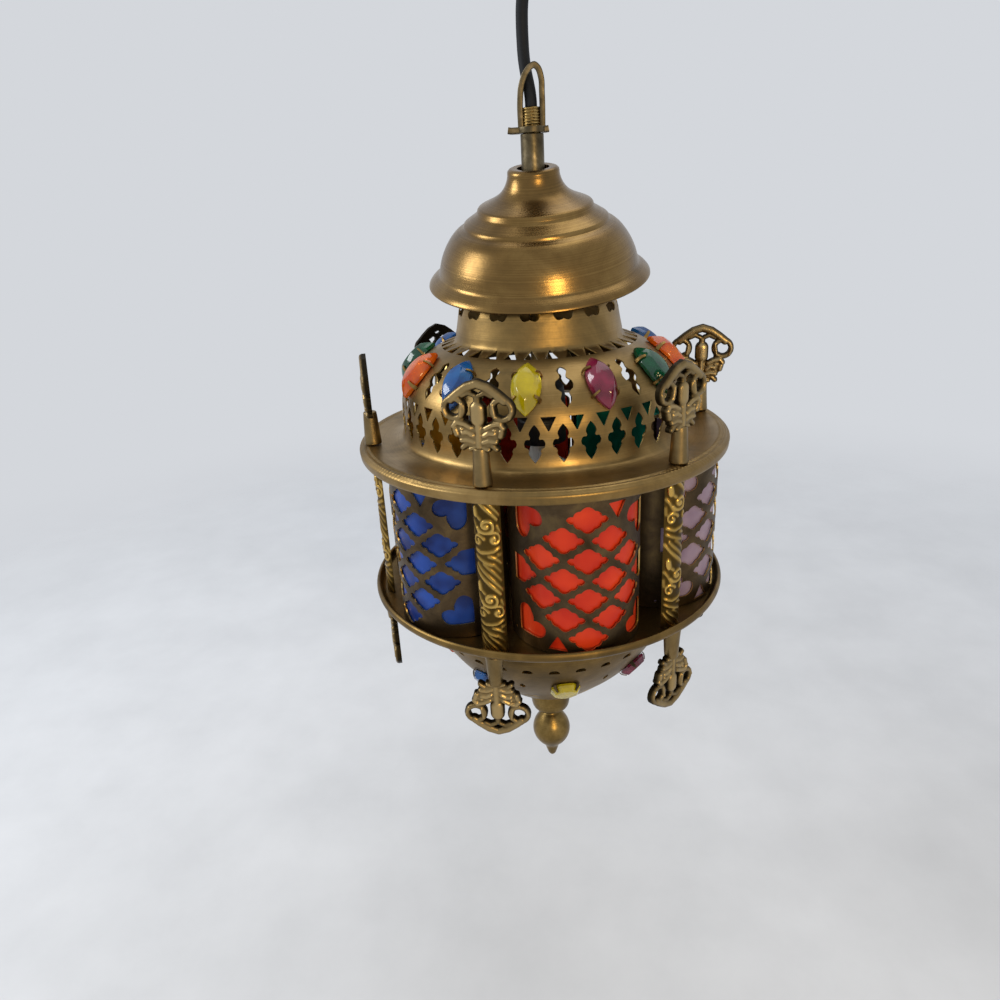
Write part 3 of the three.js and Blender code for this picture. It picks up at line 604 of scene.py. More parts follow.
def plasticMaterial(name, dark, light, rough, grain, mirror=0.5):
    # Moulded or extruded plastic and opal glass: an even colour with a faint cloud and a fine grain.
    material, tree, shader = newMaterial(name, {"IOR": 1.5, "Specular IOR Level": mirror})
    place = addNode(tree, "ShaderNodeTexCoord").outputs["Object"]
    cloud = addNode(
        tree, "ShaderNodeTexNoise", inputs={"Scale": 1000 / grain, "Detail": 3.0},
        links={"Vector": place},
    ).outputs["Fac"]
    colour = addNode(
        tree, "ShaderNodeValToRGB", links={"Fac": cloud},
        stops=[(0.3, hexColour(dark)), (0.7, hexColour(light))],
    ).outputs["Color"]
    tree.links.new(colour, shader.inputs["Base Color"])
    level = addNode(
        tree, "ShaderNodeMapRange", inputs={"To Min": rough, "To Max": rough + 0.12},
        links={"Value": cloud},
    ).outputs["Result"]
    tree.links.new(level, shader.inputs["Roughness"])
    bump = addNode(
        tree, "ShaderNodeBump", inputs={"Strength": 0.12, "Distance": 0.0002}, links={"Height": cloud}
    )
    tree.links.new(bump.outputs["Normal"], shader.inputs["Normal"])
    return material


# Extruded PVC sheath of the lead: black with a blue cast and a soft gloss.
cordPvc = plasticMaterial("extruded_black_pvc", "#0b0d11", "#14171c", 0.6, 1.2, 0.25)
# Moulded phenolic of the lampholder: black, low gloss.
phenolic = plasticMaterial("moulded_black_phenolic", "#131315", "#1f1f22", 0.42, 2.0)
# Opal glass of the bulb: milk white, glossy.
opalGlass = plasticMaterial("opal_blown_glass", "#eeeadd", "#f8f6ee", 0.12, 16.0)
print("materials ready")

# Lead from the stem's mouth to the cord grip, by the route of the part's source, in millimetres
cord = {"radius": 3.0, "sides": 20, "step": 1.5}
cordRoute = np.array([
    (0, 0, 165.3), (0, 0, 167), (-0.15, 0.22, 169.5), (-0.5, 0.75, 172.5), (-1, 1.55, 175.5),
    (-1.6, 2.5, 178.5), (-2.1, 3.4, 181.5), (-2.5, 4.2, 184.5), (-2.8, 4.85, 187.5), (-3, 5.35, 191),
    (-3.1, 5.6, 195), (-3.15, 5.5, 199), (-3.1, 5.1, 203), (-2.95, 4.4, 207), (-2.55, 3.4, 211),
    (-1.9, 2.35, 215), (-1.15, 1.3, 219), (-0.4, 0.45, 223), (0, 0, 227), (0, 0, 229.7),
])
cordLine = smoothLine(cordRoute, cord["step"])
lead = makePiece(
    "flex_lead", "lamp_frame", swept(cordLine, roundSection(cord["radius"], cord["sides"]), (1, 0, 0)),
    [cordPvc], ["flex_cord"],
)

# Ceiling plate: a spun disc with a rounded edge, a coned hub and the cord grip's ribbed sleeve
rose = {"radius": 40, "plate": 3, "grip": 7.5, "gripLength": 25}
hub = ceilingHeight - rose["plate"]
gripEnd = hub - rose["gripLength"]
ribs = [(rose["grip"] - 0.5 * (k % 2), gripEnd + 1.2 + 0.9 * k) for k in range(8)]
rosePieces = turned(easedLine([
    (0, gripEnd), (rose["grip"] - 1.2, gripEnd), *ribs, (rose["grip"], gripEnd + 9),
    (rose["grip"] + 1.8, gripEnd + 13), (rose["grip"] + 5, hub - 5), (rose["grip"] + 12, hub),
    (rose["radius"] - 1.5, hub), (rose["radius"], hub + 1), (rose["radius"], ceilingHeight),
    (0, ceilingHeight),
], 0.8), 72)
plate = makePiece(
    "ceiling_plate", "lamp_frame", rosePieces, [spunBrass], ["ceiling_rose"]
)
cordMetres = (cordLine - (0, 0, ceilingHeight)) * mm
round(float(arcLength(cordMetres)[-1]), 4)
print("lead and ceiling plate made")

# Hanging loop: a strap bent to a point over an eye plate with turned-out feet, leaning forward
loop = {"foot": 153.3, "plate": 3.0, "width": 3.4, "thick": 2.9, "lean": 6, "eye": 7.0, "bore": 5.1}
strapOuter = [
    (-6.9, 0), (-6.8, 12), (-5.9, 19), (-3.2, 25.1), (0, 28.2), (2.4, 28.8), (4.9, 27), (6.7, 22.3),
    (7, 15), (6.9, 0),
]
strapLine = smoothLine(strapOuter, 1.2)
strapMiddle = inward(strapLine, loop["thick"] / 2)
lean = math.radians(loop["lean"])
strapPath = np.stack([
    strapMiddle[:, 0], -strapMiddle[:, 1] * math.sin(lean),
    loop["foot"] + loop["plate"] - 0.4 + strapMiddle[:, 1] * math.cos(lean),
], 1)
strap = swept(
    strapPath, easedBox(loop["width"], loop["thick"], 0.6), (0, -math.cos(lean), -math.sin(lean))
)
footLine = easedLine([
    (-12, 0, 0.3), (-10.4, 0, 0), (-7, 0, 0), (5.5, 0, 0), (7.2, 0, 0), (8.5, 0, 0.2),
], 0.8) + (0, 0, loop["foot"] + loop["plate"] / 2)
feet = [
    swept(footLine[footLine[:, 0] < -5.2], easedBox(5.6, loop["plate"], 0.7), (0, 1, 0)),
    swept(footLine[footLine[:, 0] > 5.2], easedBox(5.6, loop["plate"], 0.7), (0, 1, 0)),
]
eyePlate = turned(easedLine([
    (loop["bore"], loop["foot"] + 0.4), (loop["eye"], loop["foot"]),
    (loop["eye"], loop["foot"] + loop["plate"]), (loop["bore"], loop["foot"] + loop["plate"]),
], 0.4), 48)
makePiece(
    "strap_loop", "lamp_frame", joined([strap, *feet, eyePlate]), [strapBrass],
    ["hanging_loop"],
)

# Threaded stem: a tube whose thread is a helix, so the radius at azimuth a and height z follows
# cos(2 pi (z / pitch - a / 360)), only above the loop's plate where it shows
stem = {"radius": 4.75, "bore": 3.75, "top": 165.0, "bottom": 22.0, "pitch": 1.4, "depth": 0.45}
height = np.arange(stem["top"] - 12.5, stem["top"] + 0.01, stem["pitch"] / 7)
turn = np.arange(48) * 2 * np.pi / 48
wave = 0.5 + 0.5 * np.cos(2 * np.pi * height[:, None] / stem["pitch"] - turn)
radius = stem["radius"] - stem["depth"] * wave
thread = np.stack([
    radius * np.sin(turn), -radius * np.cos(turn), np.repeat(height[:, None], len(turn), 1),
], -1)
ends = [
    (stem["bore"], stem["top"]), (stem["bore"], stem["bottom"]), (stem["radius"], stem["bottom"]),
    (stem["radius"], stem["top"] - 13),
]
rings = [
    np.stack([r * np.sin(turn), -r * np.cos(turn), np.full(len(turn), z)], -1)[None] for r, z in ends
]
grid = np.concatenate([*rings, thread])
# The quads are slightly twisted, so the corner that each starts at decides its diagonal.
quads = np.roll(gridQuads(len(grid), len(turn), ringed=True), 1, 1)
# Relief is 1 on the thread's crests and 0 in its grooves, so the brass paints a highlight along each
# crest and shade in each groove.
crestHighlight = np.concatenate([np.zeros((len(rings), len(turn))), 1 - wave]).ravel()
makePiece(
    "stem_thread", "lamp_frame", closedBody(grid, quads, relief=crestHighlight), [turnedBrass],
    ["threaded_stem"],
)
sleeve = {"radius": 5.9, "bore": 5.1, "bottom": 132.69, "top": 153.0}
makePiece("sleeve_tube", "lamp_frame", turned(easedLine([
    (sleeve["bore"], sleeve["bottom"]), (sleeve["radius"], sleeve["bottom"]),
    (sleeve["radius"], sleeve["top"]), (sleeve["bore"], sleeve["top"]),
], 0.35), 48), [strapBrass], ["stem_sleeve"])
print("loop, stem and sleeve made")

# Bell cap in its own frame, neck's top at the origin, then leaned forward on the stem
cap = {"wall": 1.2, "hole": 8.4, "pivot": 137.6, "lean": 11.74, "azimuth": -5.5, "steps": 120}
capProfile = [
    (cap["hole"], 0), (12.4, -0.1), (13.3, -1), (13.5, -3), (14.2, -5.8), (15.8, -9), (18.3, -11.8),
    (21.4, -13.8), (25, -15.5), (28.4, -16.9), (29.8, -17.6), (30.5, -18.4), (30.8, -19.6),
    (31.4, -20.5), (34, -22.3), (37, -24.2), (38.2, -25), (38.7, -25.8), (38.9, -26.8), (39.7, -27.3),
    (41.5, -28), (45, -30.7), (48, -34.4), (50.7, -38.8), (52.6, -43.2),
    (53.8, -47.2), (54.7, -49.8), (57.2, -51.6), (59.8, -53.8), (60.6, -55.3), (60, -55.9),
]
capLine = smoothLine(capProfile, 1.3)
bell = spunSheet(capLine, cap["wall"], cap["steps"])
lean = math.radians(cap["lean"])
tip = np.array([
    [1, 0, 0], [0, math.cos(lean), -math.sin(lean)], [0, math.sin(lean), math.cos(lean)],
])
bell["points"] = bell["points"] @ tip.T
bell = turnedTo(bell, cap["azimuth"])
bell["points"] = bell["points"] + (0, 0, cap["pivot"])
makePiece("cap_bell", "bell_cap", bell, [spunBrass], ["bell_cap"])
print("cap made")

# Collar, shoulder and flange, one spun sheet pierced all round. s runs down its outer side.
shoulder = {"wall": 0.7, "pitch": 2.5, "clear": 0.9}
shoulderTop = easedLine([(36.2, 74), (40.6, 74), (41.6, 72.9), (43.2, 69)], 0.8)
shoulderPoints = [
    (43.2, 69), (44.8, 60), (45.6, 56), (46.2, 53), (48, 51.6), (52.5, 50.6), (58, 48.2), (63, 45.2),
    (67.5, 41.8), (71.4, 37.8), (74.8, 33.2), (77.2, 28), (78.5, 21.5), (79, 14), (79.2, 5),
    (80.5, 1.6), (83.5, 0.2), (98.3, 0),
]
beadPoints = [
    (98.3, 0), (98.9, 0), (99.5, 0.3), (100.2, 0.1), (100.9, -0.5), (101.4, -0.4), (102.3, -0.1),
    (103.2, -0.6), (103.8, -1.5), (104.3, -1.6), (104.9, -2.4), (104.9, -3.6), (104.6, -4.2),
    (104.7, -4.9), (104.6, -5.9), (104.1, -6.7),
]
shoulderLine = np.vstack([
    shoulderTop[:-1], smoothLine(shoulderPoints, 2.4)[:-1], smoothLine(beadPoints, 0.8),
])
shoulderSpun = SpunLine(shoulderLine)
lipLength = float(np.interp(-73, -shoulderLine[:, 1], shoulderSpun.s))
moon = bowed([
    (-5.3, 1.6), (-4.4, -1.4), (-1.4, -2.2), (0, -1.5), (1.4, -2.2), (4.4, -1.4), (5.3, 1.6), (0, 2.5),
], [0.3, 0.6, 0.1, 0.1, 0.6, 0.3, 0.3, 0.3])
footTriangle = np.array([(-3.5, -4), (3.5, -4), (0.3, 4), (-0.3, 4)])
hangTriangle = np.array([(-3.8, 3.4), (-0.3, -3.4), (0.3, -3.4), (3.8, 3.4)])
tallFleur = mirrored([
    (0, 0), (1.5, 1.1), (2.4, 2.4), (2.2, 3.7), (1.6, 5.4), (1.6, 6.9), (2.4, 7.9), (3.9, 9.1),
    (4.5, 11.1), (4.1, 13.2), (2.8, 14.4), (1.8, 15.6), (2.2, 17.1), (2.8, 18.4), (2.4, 19.9),
    (1.1, 21.6), (0, 23.2),
])
bandFleur = mirrored([
    (0, 0), (1.5, 1.7), (2.5, 3.4), (2.8, 4.7), (2.1, 6.5), (2.4, 7.3), (3.8, 7.2), (4.7, 7.9),
    (5.2, 9.4), (4.8, 11.1), (3.4, 12), (2.8, 13.2), (3.1, 14.4), (2.1, 16.5), (0, 19.2),
])
shoulderHoles = []
for count, first, s, outline in [
    (16, -5.5, 4.4, moon), (32, -4.7, 25.2, footTriangle), (12, 9.5, 47.4, tallFleur),
    (36, 2.4, 66.2, hangTriangle), (36, 7.4, 75.8, bandFleur),
]:
    shoulderHoles += [(outline, first + k * 360 / count, lipLength + s) for k in range(count)]
shoulderBody = piercedSpun(
    shoulderSpun, shoulder["wall"], shoulderHoles, shoulder["pitch"], shoulder["clear"]
)
# The sheet's brass is painted lighter as a reflection of the sky.
makePiece(
    "pierced_shoulder", "lamp_frame", shoulderBody, [skyLitBrass, cutEdgeBrassAndGlint],
    ["top_shoulder"],
)
print("shoulder made")

# Glass stones: the outline in layers (share of the outline, level above the sheet), and prongs bent
# over each stone's edge
stone = {"half": 14.0, "arc": 17.14, "along": 48.3, "first": -5.5, "count": 12, "prong": 6.6}
stoneLayers = [
    (0.94, 0.25), (1, 0.5), (1.01, 1.6), (0.99, 2.4), (0.93, 3.1), (0.8, 4.4), (0.66, 5.5), (0.58, 6.1),
    (0.54, 6.35), (0.3, 6.5),
]


def layeredStone(outline, layers, place):
    # Point k of layer (share, level) is place(share * outline k, level), and both ends close on the
    # outline's middle.
    count = len(outline)
    share, level = np.array(layers).T
    flat = share[:, None, None] * outline
    rings = place(flat[..., 0], flat[..., 1], level[:, None] + np.zeros(count))
    middle = place(np.zeros(2), np.zeros(2), level[[0, -1]])
    return closedBody(
        np.vstack([rings.reshape(-1, 3), middle]), gridQuads(len(layers), count),
        endFans(len(layers), count),
    )


def prong(edge, towards, place, path, widths, thick=0.5):
    # A tapering tab: path lists (distance inwards from the edge, level), and the four corners of each
    # cross-section lie half its width to the sides and half its thickness above and below.
    edge, towards = np.array(edge), np.array(towards) / np.hypot(*towards)
    path = smoothLine(path, 0.9)
    widths = np.interp(np.linspace(0, 1, len(path)), np.linspace(0, 1, len(widths)), widths)
    square = inward(path, 1.0) - path
    side = np.array([-towards[1], towards[0]])
    corners = []
    for across, above in ((-1, -1), (1, -1), (1, 1), (-1, 1)):
        deep = path + above * thick / 2 * square
        flat = edge + deep[:, :1] * towards + across * widths[:, None] / 2 * side
        corners.append(place(flat[:, 0], flat[:, 1], deep[:, 1]))
    rings = np.stack(corners, 1)
    last = (len(path) - 1) * 4
    ends = [[3, 2, 1, 0], [last, last + 1, last + 2, last + 3]]
    return closedBody(rings, np.vstack([gridQuads(len(path), 4), ends]), relief=0.8)


def halfWidth(v):
    # Half-width of the pointed stone at height v: two arcs that meet in its tips.
    return np.sqrt(stone["arc"] ** 2 - v**2) - math.sqrt(stone["arc"] ** 2 - stone["half"] ** 2)


rise = stone["half"] * np.sin(np.linspace(-np.pi / 2, np.pi / 2, 17))
marquise = np.vstack([
    np.stack([halfWidth(rise), rise], 1), np.stack([-halfWidth(rise[1:-1]), rise[1:-1]], 1)[::-1],
])
stoneColours = [
    "yellow", "magenta", "green", "orange", "blue", "yellow", "magenta", "green", "blue", "green",
    "orange", "blue",
]
prongPath = [(-1.2, 0.2), (-1.0, 1.4), (-0.5, 2.8), (0.5, 4.2), (1.7, 5.2)]
prongs = []
for k, colour in enumerate(stoneColours):
    azimuth, s = stone["first"] + k * 360 / stone["count"], lipLength + stone["along"]
    place = lambda u, v, level: shoulderSpun.place(azimuth, s, u, v, level)
    makePiece(
        f"shoulder_stone_{k + 1}", "lamp_frame", layeredStone(marquise, stoneLayers, place),
        [stoneGlass[colour]], [f"top_stone_{k + 1}"], sharp=24,
    )
    for side in (-1, 1):
        for end in (-stone["prong"], stone["prong"]):
            edge = (side * float(halfWidth(end)), end)
            widths = (2.2, 1.7, 1.1) if side * end < 0 else (1.4, 1.1, 0.7)
            towards = (-side, -end / stone["half"])
            prongs.append(prong(edge, towards, place, prongPath, widths))
makePiece("shoulder_prongs", "lamp_frame", joined(prongs), [agedBrass])
print("stones made")

# Bays: a punched panel bent to an arc in front of a curved pane. On the flat sheet u runs along the
# arc from the bay's middle and v up from the middle height.
bay = {
    "radius": 34.0, "centre": 66.0, "half": 60.08, "low": -91.7, "high": -1.5, "wall": 0.8,
    "across": 53, "up": 40, "clear": 0.8, "first": 13, "count": 6,
    "row": 21.65, "column": 12.05, "slide": -2.3,
    "drop": [3.6, 3.6, 3.6, 3.6, 3.6, 3.0], "tilt": [-0.045, 0, 0, 0, 0, 0.056],
}
bayMiddle = (bay["low"] + bay["high"]) / 2
quarter = [(10.4, 0), (7, 1.8), (3.6, 4.7)]
ogee = bowed(
    [*quarter, *[(-u, v) for u, v in quarter[::-1]], *[(-u, -v) for u, v in quarter[1:]],
     *[(u, -v) for u, v in quarter[:0:-1]]],
    [0.75, 0.9, 2.2, 0.9, 0.75] * 2,
)
heart = 1.18 * bowed(
    [(7.4, 7), (-3.4, 7), (-7.4, 3.4), (-5.4, -0.4), (-1.2, -0.4), (-0.4, -4.6), (3.4, -7.6),
     (7.4, -3.2)],
    [0, 0.9, 0.9, 0.5, 0.5, 0.9, 1.0, 0.2],
)
halfOgee = bowed(
    [(-10.5, 0), (-7.1, -1.8), (-3.7, -4.7), (0, -7.2), (5.7, -7.2), (5.7, 7.2), (0, 7.2), (-3.7, 4.7),
     (-7.1, 1.8)],
    [0.75, 0.9, 0.9, 0.1, 0, 0.1, 0.9, 0.9, 0.75],
)
wedge = np.array([(-5.2, -4), (5.2, -4), (0.3, 4), (-0.3, 4)])
seeThrough = roundSection(0.9, 12)
mirror = lambda outline, a, b: (outline * (a, b))[:: 1 if a * b > 0 else -1]
bayHoles = [
    (ogee, step * bay["column"], row * bay["row"])
    for step, rows in {
        -2: (-0.5, 0.5), -1: (-1, 0, 1), 0: (-1.5, -0.5, 0.5, 1.5), 1: (-1, 0, 1), 2: (-0.5, 0.5),
    }.items()
    for row in rows
]
for a in (-1, 1):
    bayHoles.append((mirror(halfOgee, a, 1), a * 37, 0))
    bayHoles.append((mirror(wedge, 1, -a), a * 15.8, a * 36))
    bayHoles.append((seeThrough, a * 44.6, -37.2))
    bayHoles += [(mirror(heart, a, b), a * 31.1, b * 27.6) for b in (-1, 1)]
across = np.linspace(-bay["half"], bay["half"], bay["across"])
upright = np.linspace(bay["low"] - bayMiddle, bay["high"] - bayMiddle, bay["up"])
lowerEdge = np.stack([across, np.full(len(across), upright[0])], 1)
leftEdge = np.stack([np.full(len(upright), across[0]), upright], 1)
bayBorder = np.vstack([
    lowerEdge[:-1], (leftEdge * (-1, 1))[:-1], (lowerEdge * (1, -1))[:0:-1], leftEdge[:0:-1],
])


def cutPanel(drop, tilt):
    # The sheet's flat net with the whole pattern slid, lowered by the drop and sheared to v + tilt u:
    # the filling grid loses the points that lie in a hole or too near its outline.
    filling = np.stack(np.meshgrid(across[1:-1], upright[1:-1]), -1).reshape(-1, 2)
    outlines = []
    for outline, u, v in bayHoles:
        outline = outline + (u + bay["slide"], v - drop)
        outline[:, 1] += tilt * outline[:, 0]
        middle = outline.mean(0)
        reach = np.abs(outline - middle).max() + bay["clear"]
        near = np.flatnonzero(np.abs(filling - middle).max(1) < reach)
        clear = farFrom(*filling[near].T, outline, bay["clear"])
        filling = np.delete(filling, near[~clear], axis=0)
        outlines.append(outline)
    return cutFlat(bayBorder, outlines, filling)


def bayPlace(flat, level):
    # A flat point (u, v) bent round the bay's upright axis: angle u / R, radius R + level.
    angle, r = flat[:, 0] / bay["radius"], bay["radius"] + level
    return np.stack([r * np.sin(angle), -bay["centre"] - r * np.cos(angle), bayMiddle + flat[:, 1]], 1)


panelBodies = {}
for hang in set(zip(bay["drop"], bay["tilt"])):
    flat, net = cutPanel(*hang)
    panelBodies[hang] = walled(net, bayPlace(flat, 0.0), bayPlace(flat, -bay["wall"]), 0.0, 0.0, 1)

pane = {"half": 58.2, "across": 61, "up": 8, "inset": 1.5, "thick": 2.0}
paneFlat = np.stack(np.meshgrid(
    np.linspace(-pane["half"], pane["half"], pane["across"]),
    np.linspace(upright[0], upright[-1], pane["up"]),
), -1).reshape(-1, 2)
paneBody = walled(
    gridQuads(pane["up"], pane["across"], closed=False), bayPlace(paneFlat, -pane["inset"]),
    bayPlace(paneFlat, -pane["inset"] - pane["thick"]), 0.0,
)
for k, colour in enumerate(["red", "lilac", "teal", "red", "amber", "blue"]):
    azimuth = bay["first"] + k * 360 / bay["count"]
    makePiece(
        f"lattice_panel_{k + 1}", "lamp_frame",
        turnedTo(panelBodies[bay["drop"][k], bay["tilt"][k]], azimuth), [panelBrass, cutEdgeBrassAndGlint],
        [f"bay_panel_{k + 1}"],
    )
    makePiece(
        f"curved_pane_{k + 1}", "lamp_frame", turnedTo(paneBody, azimuth), [paneGlass[colour]],
        [f"glass_pane_{k + 1}"],
    )
print("bays made")

# Columns: foil stamped with scrolls and leaves, bent to half an ellipse. The pattern is drawn on the
# flat foil, u round from the middle and v up, and repeats twice.
column = {
    "half": 7.0, "deep": 4.6, "wall": 1.1, "across": 50, "up": 190, "rise": 1.1, "hollow": 0.95,
    "circle": 96.9, "first": -17, "repeat": 40.5, "broad": 1.2,
}


def spiral(centre, reach, turns, start, steps=26):
    # r = reach (1 - 0.8 t), angle = start + turns t.
    t = np.linspace(0, 1, steps)
    r, angle = reach * (1 - 0.8 * t), math.radians(start) + 2 * math.pi * turns * t
    return np.stack([centre[0] + r * np.cos(angle), centre[1] + r * np.sin(angle)], 1).tolist()


leafMotif = [
    ([(-8.6, -1), (-5, -5), (0.5, -11), (6.5, -17.5)], 0.95, 0.8),
    ([(-5.5, 0.5), (-1.5, -4), (4, -10.5), (8.2, -15)], 0.85, 0.7),
    ([(-1.5, 1), (3.5, -4.5), (7.6, -9)], 0.8, 0.6),
    ([(3, 1), (7.5, -3.6)], 0.8, 0.5),
    (spiral((0.6, -21.2), 4.8, 1.3, 200), 0.8, 1.0),
    ([(0.6, -21.2), (0.9, -21.4)], 0.9, 1.1),
    (spiral((4.6, -29), 4.2, -1.15, 120), 0.75, 0.95),
    ([(4.7, -29), (4.9, -29.2)], 0.8, 1.05),
    (spiral((-4.4, -30.4), 3.8, 1.1, 20), 0.75, 0.9),
    ([(-5.8, -12.2), (-5.4, -15)], 1.7, 1.1),
    ([(-3.4, -16.4), (-2.2, -17.6)], 0.8, 0.8),
    ([(-8.4, -18.5), (-5.8, -21), (-3.4, -25.5)], 0.9, 0.7),
    ([(-7.5, -36), (-2.5, -37.4), (3.5, -36.2), (7.4, -34.4)], 0.85, 0.75),
    ([(6.8, -22), (8.6, -24.6)], 1.1, 0.7),
    ([(-8.6, -24), (-8.2, -27.5)], 1.0, 0.6),
    ([(-7.6, -39.8), (-3, -41.6), (2.4, -44.4)], 0.8, 0.7),
    ([(1.2, -39.2), (4.6, -40.6), (8.2, -43.5)], 0.8, 0.7),
    ([(8.2, -38.4), (6.2, -38.6)], 0.9, 0.5),
]
perimeter = math.pi * math.sqrt((column["half"] ** 2 + column["deep"] ** 2) / 2)
turn = np.linspace(-math.pi / 2, math.pi / 2, column["across"])
rise = np.linspace(bay["low"], bay["high"], column["up"])
foil = np.stack(np.meshgrid(turn / math.pi * perimeter, rise - bay["high"]), -1)
pattern = [
    ([(u, 0.9 * v - shift * column["repeat"]) for u, v in line], column["broad"] * width, height)
    for shift in (0, 1, 2) for line, width, height in leafMotif
]
_, stamped = strokeField(foil, pattern)
stamped = np.clip(stamped / column["rise"], 0, 1)
# Each point becomes the mean of itself and its four neighbours, which softens the foil.
edged = np.pad(stamped, 1, mode="edge")
stamped = (stamped + edged[:-2, 1:-1] + edged[2:, 1:-1] + edged[1:-1, :-2] + edged[1:-1, 2:]) / 5
sunk = column["hollow"] * (1 - stamped) * (1 - (2 * turn / math.pi) ** 6)
ellipse = lambda inset: np.stack([
    (column["half"] - inset) * np.sin(turn),
    column["deep"] / 2 - column["circle"] - (column["deep"] - inset) * np.cos(turn),
    np.broadcast_to(rise[:, None], foil.shape[:2]),
], -1).reshape(-1, 3)
foilNet = gridQuads(column["up"], column["across"], closed=False)
inner = np.full(foil.shape[:2], column["hollow"] + column["wall"] - 0.4)
columnBody = walled(foilNet, ellipse(sunk), ellipse(inner), 0.0, stamped.ravel())
for k in range(bay["count"]):
    azimuth = column["first"] + k * 360 / bay["count"]
    makePiece(
        f"stamped_column_{k + 1}", "lamp_frame", turnedTo(columnBody, azimuth), [stampedBrass],
        [f"column_{k + 1}"], sharp=60,
    )
print("columns made")

# Cast ornament: lace of half-round strokes on a flat back, x across and z up, standing on a cone
lace = {
    "pitch": 0.42, "half": 19.32, "low": 14.3, "high": 54, "front": 0.7, "back": 1.4, "top": 2.6,
    "under": -93.2, "upperTurn": {2: -115}, "lowerTurn": {0: 12},
}
halfLace = [
    ([(0, 48.4), (5, 46.8), (9.4, 43.8), (12.8, 41)], 2.2, 1.7),
    ringStroke((11.6, 36.9), 4.7, 1.55, 1.5),
    ([(1.2, 43.2), (4, 44.4), (7, 43)], 1.3, 1.3),
    ([(4.8, 46.2), (3.9, 45.1)], 1.2, 1.0),
    ([(9.2, 32), (10.2, 29), (9.2, 25.6)], 2.5, 1.2),
    ([(0, 27), (9, 27.4)], 2.4, 1.4),
    ([(0, 23.6), (8, 24)], 2.4, 1.4),
    ([(0, 20.4), (6.2, 20.8)], 2.2, 1.4),
    ([(0, 18), (3, 18.2)], 1.8, 1.3),
    ([(3.6, 28.2), (6.6, 29.8), (10.4, 30.6), (12, 28.6)], 1.5, 2.1),
    ([(11.2, 27), (10.6, 24.8)], 1.6, 2.0),
    ([(2.8, 24.6), (5, 26), (7.6, 25.8)], 1.5, 2.2),
    ([(2.2, 21.4), (5.2, 22.4), (8.2, 22)], 1.5, 2.0),
    ([(6.4, 20), (8.2, 18.4)], 1.5, 1.6),
    ([(1.8, 18.8), (4.4, 18)], 1.3, 1.8),
    ([(7.8, 27.6), (8, 27.5)], 0.9, 2.2),
    ([(8.4, 33.6), (7.4, 39.4)], 1.1, 2.0),
    ([(15.4, 33), (16.6, 36.8)], 0.9, 1.9),
]
laceStrokes = bothSides(halfLace) + [
    ([(0, 37), (0, 32.2)], 3.8, 2.4), ([(0, 42), (0, 40)], 1.8, 1.3), ([(0, 30), (0, 16.5)], 1.9, 2.0),
]
laceX = np.arange(-lace["half"], lace["half"] + 0.01, lace["pitch"])
laceZ = np.arange(lace["low"], lace["high"], lace["pitch"])
spots = np.stack(np.meshgrid(laceX, laceZ), -1)
outside, _ = strokeField(spots, laceStrokes)
slopeZ, slopeX = np.gradient(outside, lace["pitch"])
middle = (outside[:-1, :-1] + outside[1:, :-1] + outside[:-1, 1:] + outside[1:, 1:]) / 4 < 0
cells = gridQuads(len(laceZ), len(laceX), closed=False)[middle.ravel()]
uses = np.bincount(cells.ravel(), minlength=outside.size)
edge = (uses > 0) & (uses < 4)
slide = np.stack([slopeX, slopeZ], -1).reshape(-1, 2)
slide /= np.maximum((slide**2).sum(1, keepdims=True), 0.3)
flat = spots.reshape(-1, 2) - np.where(edge, outside.ravel(), 0.0)[:, None] * slide
kept = np.flatnonzero(uses)
number = np.zeros(outside.size, int)
number[kept] = np.arange(len(kept))
flat, edge, cells = flat[kept], edge[kept], number[cells]
_, raised = strokeField(flat, laceStrokes)
raised[edge] = 0
front = np.stack([flat[:, 0], -lace["front"] - raised, flat[:, 1]], 1)
back = np.stack([flat[:, 0], np.full(len(flat), lace["back"]), flat[:, 1]], 1)
laceBody = walled(cells, front, back, 0.0, raised / lace["top"])
stalk = turned(easedLine([
    (0, 0.3), (4.8, 0.3), (4.75, 1.6), (4.4, 6), (3.9, 15), (3.6, 18.6), (0, 19.4),
], 0.7), 40)
stalk["relief"] = np.full(len(stalk["points"]), 0.5)
ornament = joined([laceBody, stalk])
for k in range(bay["count"]):
    azimuth = column["first"] + k * 360 / bay["count"]
    upper = turnedTo(ornament, lace["upperTurn"].get(k, 0))
    upper["points"] = upper["points"] + (0, -column["circle"], 0)
    makePiece(
        f"cast_ornament_{k + 1}", f"top_ornament_{k + 1}", turnedTo(upper, azimuth), [castBrass],
        [f"top_ornament_{k + 1}"], sharp=70,
    )
    hung = {**ornament, "points": ornament["points"] * (-1, 1, -1)}
    lower = turnedTo(hung, lace["lowerTurn"].get(k, 0))
    lower["points"] = lower["points"] + (0, -column["circle"], lace["under"])
    makePiece(
        f"hanging_ornament_{k + 1}", f"bottom_ornament_{k + 1}", turnedTo(lower, azimuth), [castBrass],
        [f"bottom_ornament_{k + 1}"], sharp=70,
    )
print("ornaments made")

# Lower plate: a flat floor, dished up at the edge and rolled into a round bead
plateProfile = easedLine([
    (54, -93.2), (99.6, -93.2), (103, -92.4), (104.9, -90.4), (105, -88.4), (104.2, -86.8),
    (103, -86.7), (102.3, -88), (101.8, -90), (100.4, -91.8), (98.6, -92), (54, -92),
], 1.1, 3)
makePiece(
    "lower_plate", "lamp_frame", turned(plateProfile, 160), [agedBrass],
    ["bottom_plate"],
)

